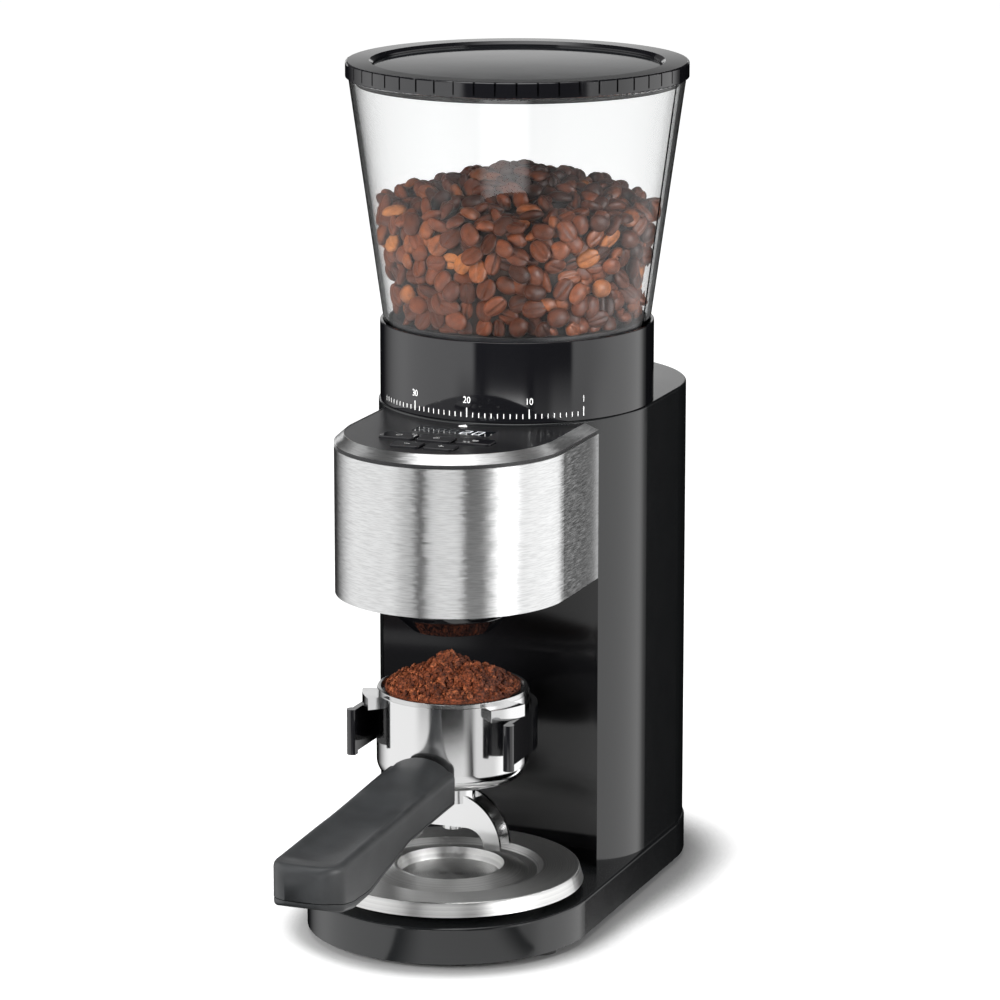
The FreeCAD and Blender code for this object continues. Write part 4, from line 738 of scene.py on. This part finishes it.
def make_grounds():
    rng = random.Random(11)
    around, rows = 220, 80
    pile = Pile()
    vertices = []
    for row in range(rows + 1):
        radius = GROUNDS_RADIUS * row / rows
        for step in range(around):
            angle = 2 * math.pi * step / around
            x, y = radius * math.cos(angle), radius * math.sin(angle)
            vertices.append(Vector((x, y + BASKET.y, min(grounds_surface(x, y), GROUNDS_TOP))))
    faces = [(row * around + step, (row + 1) * around + step, (row + 1) * around + (step + 1) % around,
              row * around + (step + 1) % around) for row in range(rows) for step in range(around)]
    floor_start = len(vertices)
    for step in range(around):
        angle = 2 * math.pi * step / around
        x, y = GROUNDS_FOOT_RADIUS * math.cos(angle), GROUNDS_FOOT_RADIUS * math.sin(angle)
        vertices.append(Vector((x, y + BASKET.y, BASKET.z - GROUNDS_FOOT_DEPTH)))
    edge = rows * around
    faces += [(edge + step, floor_start + step, floor_start + (step + 1) % around, edge + (step + 1) % around)
              for step in range(around)]
    pile.add(vertices, faces)
    for _ in range(GRAIN_COUNT):
        reach = GROUNDS_RADIUS * math.sqrt(rng.random()) * 0.97
        angle = rng.uniform(0, 2 * math.pi)
        x, y = reach * math.cos(angle), reach * math.sin(angle)
        size = min(1.7, 0.3 + rng.expovariate(2.2)) * MM
        shape, grain_faces = clump(rng, size)
        seat = Vector((x, y + BASKET.y, min(grounds_surface(x, y), GROUNDS_TOP - size) + size * 0.25))
        pile.add([vertex + seat for vertex in shape], grain_faces)
    grounds = add_piece("grounds", pile.vertices, pile.faces, "portafilter", "ground_coffee", smooth=False)
    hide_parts("coffee_grounds")


# ---------------------------------------------------------------- handle

HANDLE_LOW, HANDLE_HIGH = [Vector(corner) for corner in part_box("handle")]
HANDLE_LENGTH = HANDLE_HIGH.y - HANDLE_LOW.y
HANDLE_HALF = (HANDLE_HIGH.x - HANDLE_LOW.x) / 2 + 0.3 * MM
HANDLE_ROWS = 72
END_ROUND = 9 * MM
EDGE_ROUND = 3.2 * MM
BUTT_ROUND = 1.2 * MM
SEAM = 0.15 * MM
TOP_STEPS = 14


def along_curve(points, share):
    """Height in metres on a smooth curve through (share, height in mm) points."""
    for (start, low), (end, high) in zip(points, points[1:]):
        if share <= end:
            part = (share - start) / (end - start)
            eased = part * part * (3 - 2 * part) * 0.35 + part * 0.65
            return (low + (high - low) * eased) * MM
    return points[-1][1] * MM


HANDLE_TOP = [(0, 86.0), (0.53, 81.6), (1, 78.9)]
HANDLE_CROWN = [(0, 5.2), (0.1, 4.8), (0.28, 1.4), (0.42, -1.8),
                (0.8, -3.0), (0.9, -2.6), (0.95, -0.2), (1, 0.4)]
HANDLE_SEAM = [(0, 72.0), (0.4, 69.5), (0.577, 64.5), (0.754, 59.8), (0.87, 60.0), (0.945, 61.5), (1, 63.2)]
HANDLE_FOOT = [(0, 70.5), (0.4, 68.4), (0.577, 62.6), (0.754, 57.1), (0.86, 56.0), (0.945, 57.6), (1, 60.2)]


def rounding(distance, radius):
    """How far an outline draws in, at a distance from an end rounded with a radius."""
    if distance >= radius:
        return 0.0
    return radius - math.sqrt(radius ** 2 - (radius - distance) ** 2)


def handle_section(share, low, high, crown, grip):
    """A closed outline across the handle, as (x, z).

    The grip has round top edges and the inlay a round foot.
    """
    far = (1 - share) * HANDLE_LENGTH
    near = share * HANDLE_LENGTH
    ends = rounding(far, EDGE_ROUND) + rounding(near, BUTT_ROUND)
    half = HANDLE_HALF - rounding(far, END_ROUND) - rounding(near, BUTT_ROUND)
    top_round = EDGE_ROUND if grip else 0.2 * MM
    foot_round = 0.2 * MM if grip else 3 * MM
    if grip:
        high -= ends
    else:
        half -= 0.1 * MM
        low += ends * 0.6
    foot_round = min(foot_round, (high - low) / 2)
    top_round = min(top_round, (high - low) / 2)
    outline = [(half - foot_round + foot_round * math.sin(math.pi / 6 * step),
                low + foot_round - foot_round * math.cos(math.pi / 6 * step)) for step in range(4)]
    for step in range(7):
        turn = math.pi / 12 * step
        outline.append((half - top_round + top_round * math.cos(turn),
                        high - top_round + top_round * math.sin(turn)))
    sides = len(outline)
    inner = half - top_round
    for step in range(1, TOP_STEPS):
        x = inner * (1 - 2 * step / TOP_STEPS)
        outline.append((x, high + crown * (1 - (x / inner) ** 2) ** 0.8))
    return outline + [(-x, z) for x, z in reversed(outline[:sides])]


def handle_mesh(low_curve, high_curve, grip):
    """Vertices and faces of one half of the handle, lofted from the near end to the far end."""
    vertices = []
    for row in range(HANDLE_ROWS + 1):
        share = 0.5 - 0.5 * math.cos(math.pi * row / HANDLE_ROWS)
        crown = along_curve(HANDLE_CROWN, share) if grip else 0.0
        low = along_curve(low_curve, share) + (SEAM if grip else 0)
        high = along_curve(high_curve, share) - (0 if grip else SEAM)
        bulge = 2.6 * MM * max(0.0, 1 - (1 - share) * HANDLE_LENGTH / (12 * MM))
        for x, z in handle_section(share, low, high, crown, grip):
            y = HANDLE_HIGH.y - share * HANDLE_LENGTH - bulge * (1 - (x / HANDLE_HALF) ** 2)
            vertices.append(Vector((x, y, z)))
    count = len(vertices) // (HANDLE_ROWS + 1)
    faces = [(row * count + step, row * count + (step + 1) % count,
              (row + 1) * count + (step + 1) % count, (row + 1) * count + step)
             for row in range(HANDLE_ROWS) for step in range(count)]
    faces.append(tuple(range(count - 1, -1, -1)))
    last = HANDLE_ROWS * count
    faces.append(tuple(range(last, last + count)))
    return vertices, faces


def make_handle():
    """The broad grip, crowned at the cup and hollow further out, and the inlay below its seam."""
    grip = add_piece("handle_grip", *handle_mesh(HANDLE_SEAM, HANDLE_TOP, True),
                     "portafilter", "handle_black")
    inlay = add_piece("handle_underside", *handle_mesh(HANDLE_FOOT, HANDLE_SEAM, False),
                      "portafilter", "inlay_black")
    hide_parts("handle")
    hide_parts("handle_inlay")


# ---------------------------------------------------------------- studio

CAMERA_AZIMUTH = math.radians(21.22)
CAMERA_DROP = math.radians(12.92)
CAMERA_PLACE = Vector((0.77004, AXIS.y - 2.00549, 0.6786))


def make_camera():
    data = bpy.data.cameras.new("camera")
    data.sensor_width = 36
    data.lens = 166.6
    data.clip_end = 50
    camera = bpy.data.objects.new("camera", data)
    bpy.context.collection.objects.link(camera)
    camera.location = CAMERA_PLACE
    camera.rotation_euler = (math.pi / 2 - CAMERA_DROP, 0, CAMERA_AZIMUTH)
    bpy.context.scene.camera = camera


def stage_sheet(name, place, across=1, up=1):
    """A sheet of the studio: place gives a point for shares across and up."""
    mesh = bpy.data.meshes.new(name)
    vertices = [place(column / across, row / up) for row in range(up + 1) for column in range(across + 1)]
    faces = [(row * (across + 1) + column, row * (across + 1) + column + 1,
              (row + 1) * (across + 1) + column + 1, (row + 1) * (across + 1) + column)
             for row in range(up) for column in range(across)]
    mesh.from_pydata(vertices, [], faces)
    sheet = bpy.data.objects.new(name, mesh)
    bpy.context.collection.objects.link(sheet)
    return sheet


def depth_share(tree, output):
    """1 once a ray has bounced in the way that a Light Path output counts, else 0."""
    path = tree.nodes.new("ShaderNodeLightPath")
    least = tree.nodes.new("ShaderNodeMath")
    least.operation = "MINIMUM"
    least.inputs[1].default_value = 1.0
    tree.links.new(path.outputs[output], least.inputs[0])
    return least.outputs["Value"]


def dimmed(tree, strength, share, dim):
    """A strength that drops to dim where share is 1."""
    mix = tree.nodes.new("ShaderNodeMix")
    mix.data_type = "FLOAT"
    mix.inputs["B"].default_value = dim
    tree.links.new(share, mix.inputs["Factor"])
    tree.links.new(strength, mix.inputs["A"])
    return mix.outputs["Result"]


# Painted contact shadow: how far the occlusion reaches, and the occlusion values where the floor's glow is
# darkest and where it is full.
CONTACT_REACH = 0.05
CONTACT_DARKEST = 0.6
CONTACT_CLEAR = 0.98
FLOOR_HALF = 14


def make_floor():
    """A pale floor: it glows white, and near the base that glow is dimmed by ambient occlusion as a painted
    contact shadow, over faint real shadows from the lamps; reflections miss it.
    """
    floor = stage_sheet("floor", lambda u, v: Vector((FLOOR_HALF * (2 * u - 1), FLOOR_HALF * (2 * v - 1), 0)))
    shader = Shader("floor", (0.3, 0.3, 0.3), 0.9)
    shader.surface.inputs["Specular IOR Level"].default_value = 0.0
    shader.surface.inputs["Emission Color"].default_value = (1, 1, 1, 1)
    # Painted shadow: ambient occlusion dims the floor's glow close to the base.
    shade = shader.node("ShaderNodeAmbientOcclusion", samples=16)
    shade.inputs["Distance"].default_value = CONTACT_REACH
    open_share = shader.node("ShaderNodeMapRange", interpolation_type="SMOOTHSTEP")
    open_share.inputs["From Min"].default_value = CONTACT_DARKEST
    open_share.inputs["From Max"].default_value = CONTACT_CLEAR
    shader.link(shade.outputs["AO"], open_share.inputs["Value"])
    seen = open_share.outputs["Result"]
    for output in ("Diffuse Depth", "Glossy Depth"):
        seen = dimmed(shader.tree, seen, depth_share(shader.tree, output), 0.0)
    shader.link(seen, shader.surface.inputs["Emission Strength"])
    floor.data.materials.append(shader.material)
    floor.visible_diffuse = False
    floor.visible_glossy = False


def smooth(low, high, value):
    """0 below low, 1 above high, eased between."""
    part = min(1.0, max(0.0, (value - low) / (high - low)))
    return part * part * (3 - 2 * part)


def make_card(name, place, glow, across=48, up=16):
    """A glowing sheet that lights the object and shows in reflections, but not to the camera.

    glow gives its strength for shares across and up.
    """
    card = stage_sheet(name, place, across, up)
    strengths = [glow(column / across, row / up) for row in range(up + 1) for column in range(across + 1)]
    card.data.attributes.new("glow", "FLOAT", "POINT").data.foreach_set("value", strengths)
    material = bpy.data.materials.new(name)
    material.use_nodes = True
    tree = material.node_tree
    tree.nodes.clear()
    output = tree.nodes.new("ShaderNodeOutputMaterial")
    emission = tree.nodes.new("ShaderNodeEmission")
    attribute = tree.nodes.new("ShaderNodeAttribute")
    attribute.attribute_name = "glow"
    tree.links.new(attribute.outputs["Fac"], emission.inputs["Strength"])
    tree.links.new(emission.outputs["Emission"], output.inputs["Surface"])
    card.data.materials.append(material)
    card.visible_camera = False
    card.visible_transmission = False
    card.visible_shadow = False


def around_axis(bearing, distance, height):
    """A place at a bearing (degrees) round the collar's axis."""
    angle = math.radians(bearing)
    return AXIS + Vector((distance * math.cos(angle), distance * math.sin(angle), height))


CARD_DISTANCE = 0.75
WRAP_LEVEL = 0.105
TABLE_LEVEL = -0.05


def make_side_card(name, start, end, low, high, profile):
    """An upright card curved round the object; profile gives its glow at a bearing and a height."""
    def place(across, up):
        return around_axis(start + (end - start) * across, CARD_DISTANCE, low + (high - low) * up)

    def glow(across, up):
        return profile(start + (end - start) * across, low + (high - low) * up)

    make_card(name, place, glow, 96, 40)


def left_glow(bearing, height):
    """The left card: it reaches further forward above and below the wrap's level."""
    lower = 0.25 * smooth(-96, -102, bearing) + 0.72 * smooth(-112, -124, bearing)
    lower += (smooth(-99, -104, bearing) - lower) * smooth(TABLE_LEVEL, TABLE_LEVEL - 0.03, height)
    upper = smooth(-101, -106, bearing)
    inner = lower + (upper - lower) * smooth(WRAP_LEVEL, WRAP_LEVEL + 0.02, height)
    return 0.95 * inner * smooth(-218, -170, bearing) * smooth(0.95, 0.7, height)


def right_glow(bearing, height):
    """The right card, brightest off to the side, and gone where the flat side looks."""
    lower = 0.25 * smooth(-58, -54, bearing) + 0.4 * smooth(-46, -38, bearing)
    lower += 0.35 * smooth(-14, 4, bearing)
    upper = 0.7 * smooth(-26, -22, bearing) + 0.3 * smooth(-14, 20, bearing)
    inner = lower + (upper - lower) * smooth(WRAP_LEVEL, WRAP_LEVEL + 0.02, height)
    return 1.15 * inner * smooth(65, 48, bearing) * smooth(0.95, 0.7, height)


def front_glow(bearing, height):
    """A low card in front, for the middle of the steel wrap."""
    return 3.8 * smooth(-98, -88, bearing) * smooth(-58, -66, bearing) * smooth(0.11, 0.1, height)


def rear_glow(bearing, height):
    """A low card off to the rear right, for the flat side of the steel wrap."""
    return 2.8 * smooth(46, 60, bearing) * smooth(92, 78, bearing) * smooth(-0.24, -0.3, height)


def make_lamp(name, bearing, distance, height, size, power, mirrored=True):
    """A soft lamp aimed at the object; mirrored says whether reflections show it."""
    data = bpy.data.lights.new(name, "AREA")
    data.size = size
    data.energy = power
    lamp = bpy.data.objects.new(name, data)
    bpy.context.collection.objects.link(lamp)
    lamp.location = around_axis(bearing, distance, height)
    lamp.rotation_euler = (lamp.location - AXIS - Vector((0, 0, 0.2))).to_track_quat("Z", "Y").to_euler()
    lamp.visible_glossy = mirrored
    lamp.visible_transmission = False


def make_world():
    """White behind everything; the lamps and cards light the object."""
    world = bpy.data.worlds.new("studio")
    world.use_nodes = True
    tree = world.node_tree
    background = tree.nodes["Background"]
    background.inputs["Color"].default_value = (1, 1, 1, 1)
    white = tree.nodes.new("ShaderNodeValue")
    white.outputs["Value"].default_value = 1.0
    strength = dimmed(tree, white.outputs["Value"], depth_share(tree, "Diffuse Depth"), 0.0)
    strength = dimmed(tree, strength, depth_share(tree, "Glossy Depth"), 0.0)
    tree.links.new(strength, background.inputs["Strength"])
    world.cycles_visibility.diffuse = False
    world.cycles_visibility.glossy = False
    bpy.context.scene.world = world


BACK_EDGE_LOW = 0.49
BACK_EDGE_HIGH = 0.521


def make_studio():
    """The floor, the white world, the glowing cards and the soft lamps."""
    make_floor()
    make_world()
    make_side_card("card_left", -218, -96, -0.32, 0.95, left_glow)
    make_side_card("card_right", -58, 66, -0.32, 0.95, right_glow)
    make_side_card("card_front", -100, -56, 0.03, 0.11, front_glow)
    make_side_card("card_rear", 46, 92, -1.2, -0.24, rear_glow)
    make_card("card_table",
              lambda u, v: around_axis(-98 + 50 * u, 0.16 + 0.34 * v, -0.01),
              lambda u, v: 0.8 * smooth(0, 0.25, u) * smooth(1, 0.75, u) * smooth(1, 0.9, v))
    make_card("card_back",
              lambda u, v: around_axis(75 + 72 * u, 1.6, 0.2 + 0.8 * v),
              lambda u, v: ((0.1 + 0.8 * smooth(BACK_EDGE_HIGH, BACK_EDGE_LOW, v))
                            * smooth(0.2, 0.5, u) * smooth(0, 0.1, v)),
              48, 400)
    make_card("card_top",
              lambda u, v: AXIS + Vector((1.5 * (u - 0.5), 1.7 * (v - 0.5) - 0.35, 1.5)),
              lambda u, v: (2.0 * smooth(0, 0.3, u) * smooth(1, 0.7, u)
                            * smooth(0, 0.3, v) * smooth(1, 0.7, v)))
    make_lamp("lamp_left", -112, 1.5, 0.62, 0.5, 44, mirrored=False)
    make_lamp("lamp_right", -20, 1.5, 0.5, 0.5, 18)
    make_lamp("lamp_over", -90, 0.35, 1.9, 1.2, 24, mirrored=False)
    bpy.context.scene.view_settings.view_transform = "Standard"


dress_nodes()
make_scale()
make_icons()
make_display()
make_beans()
make_grounds()
make_handle()
make_camera()
make_studio()
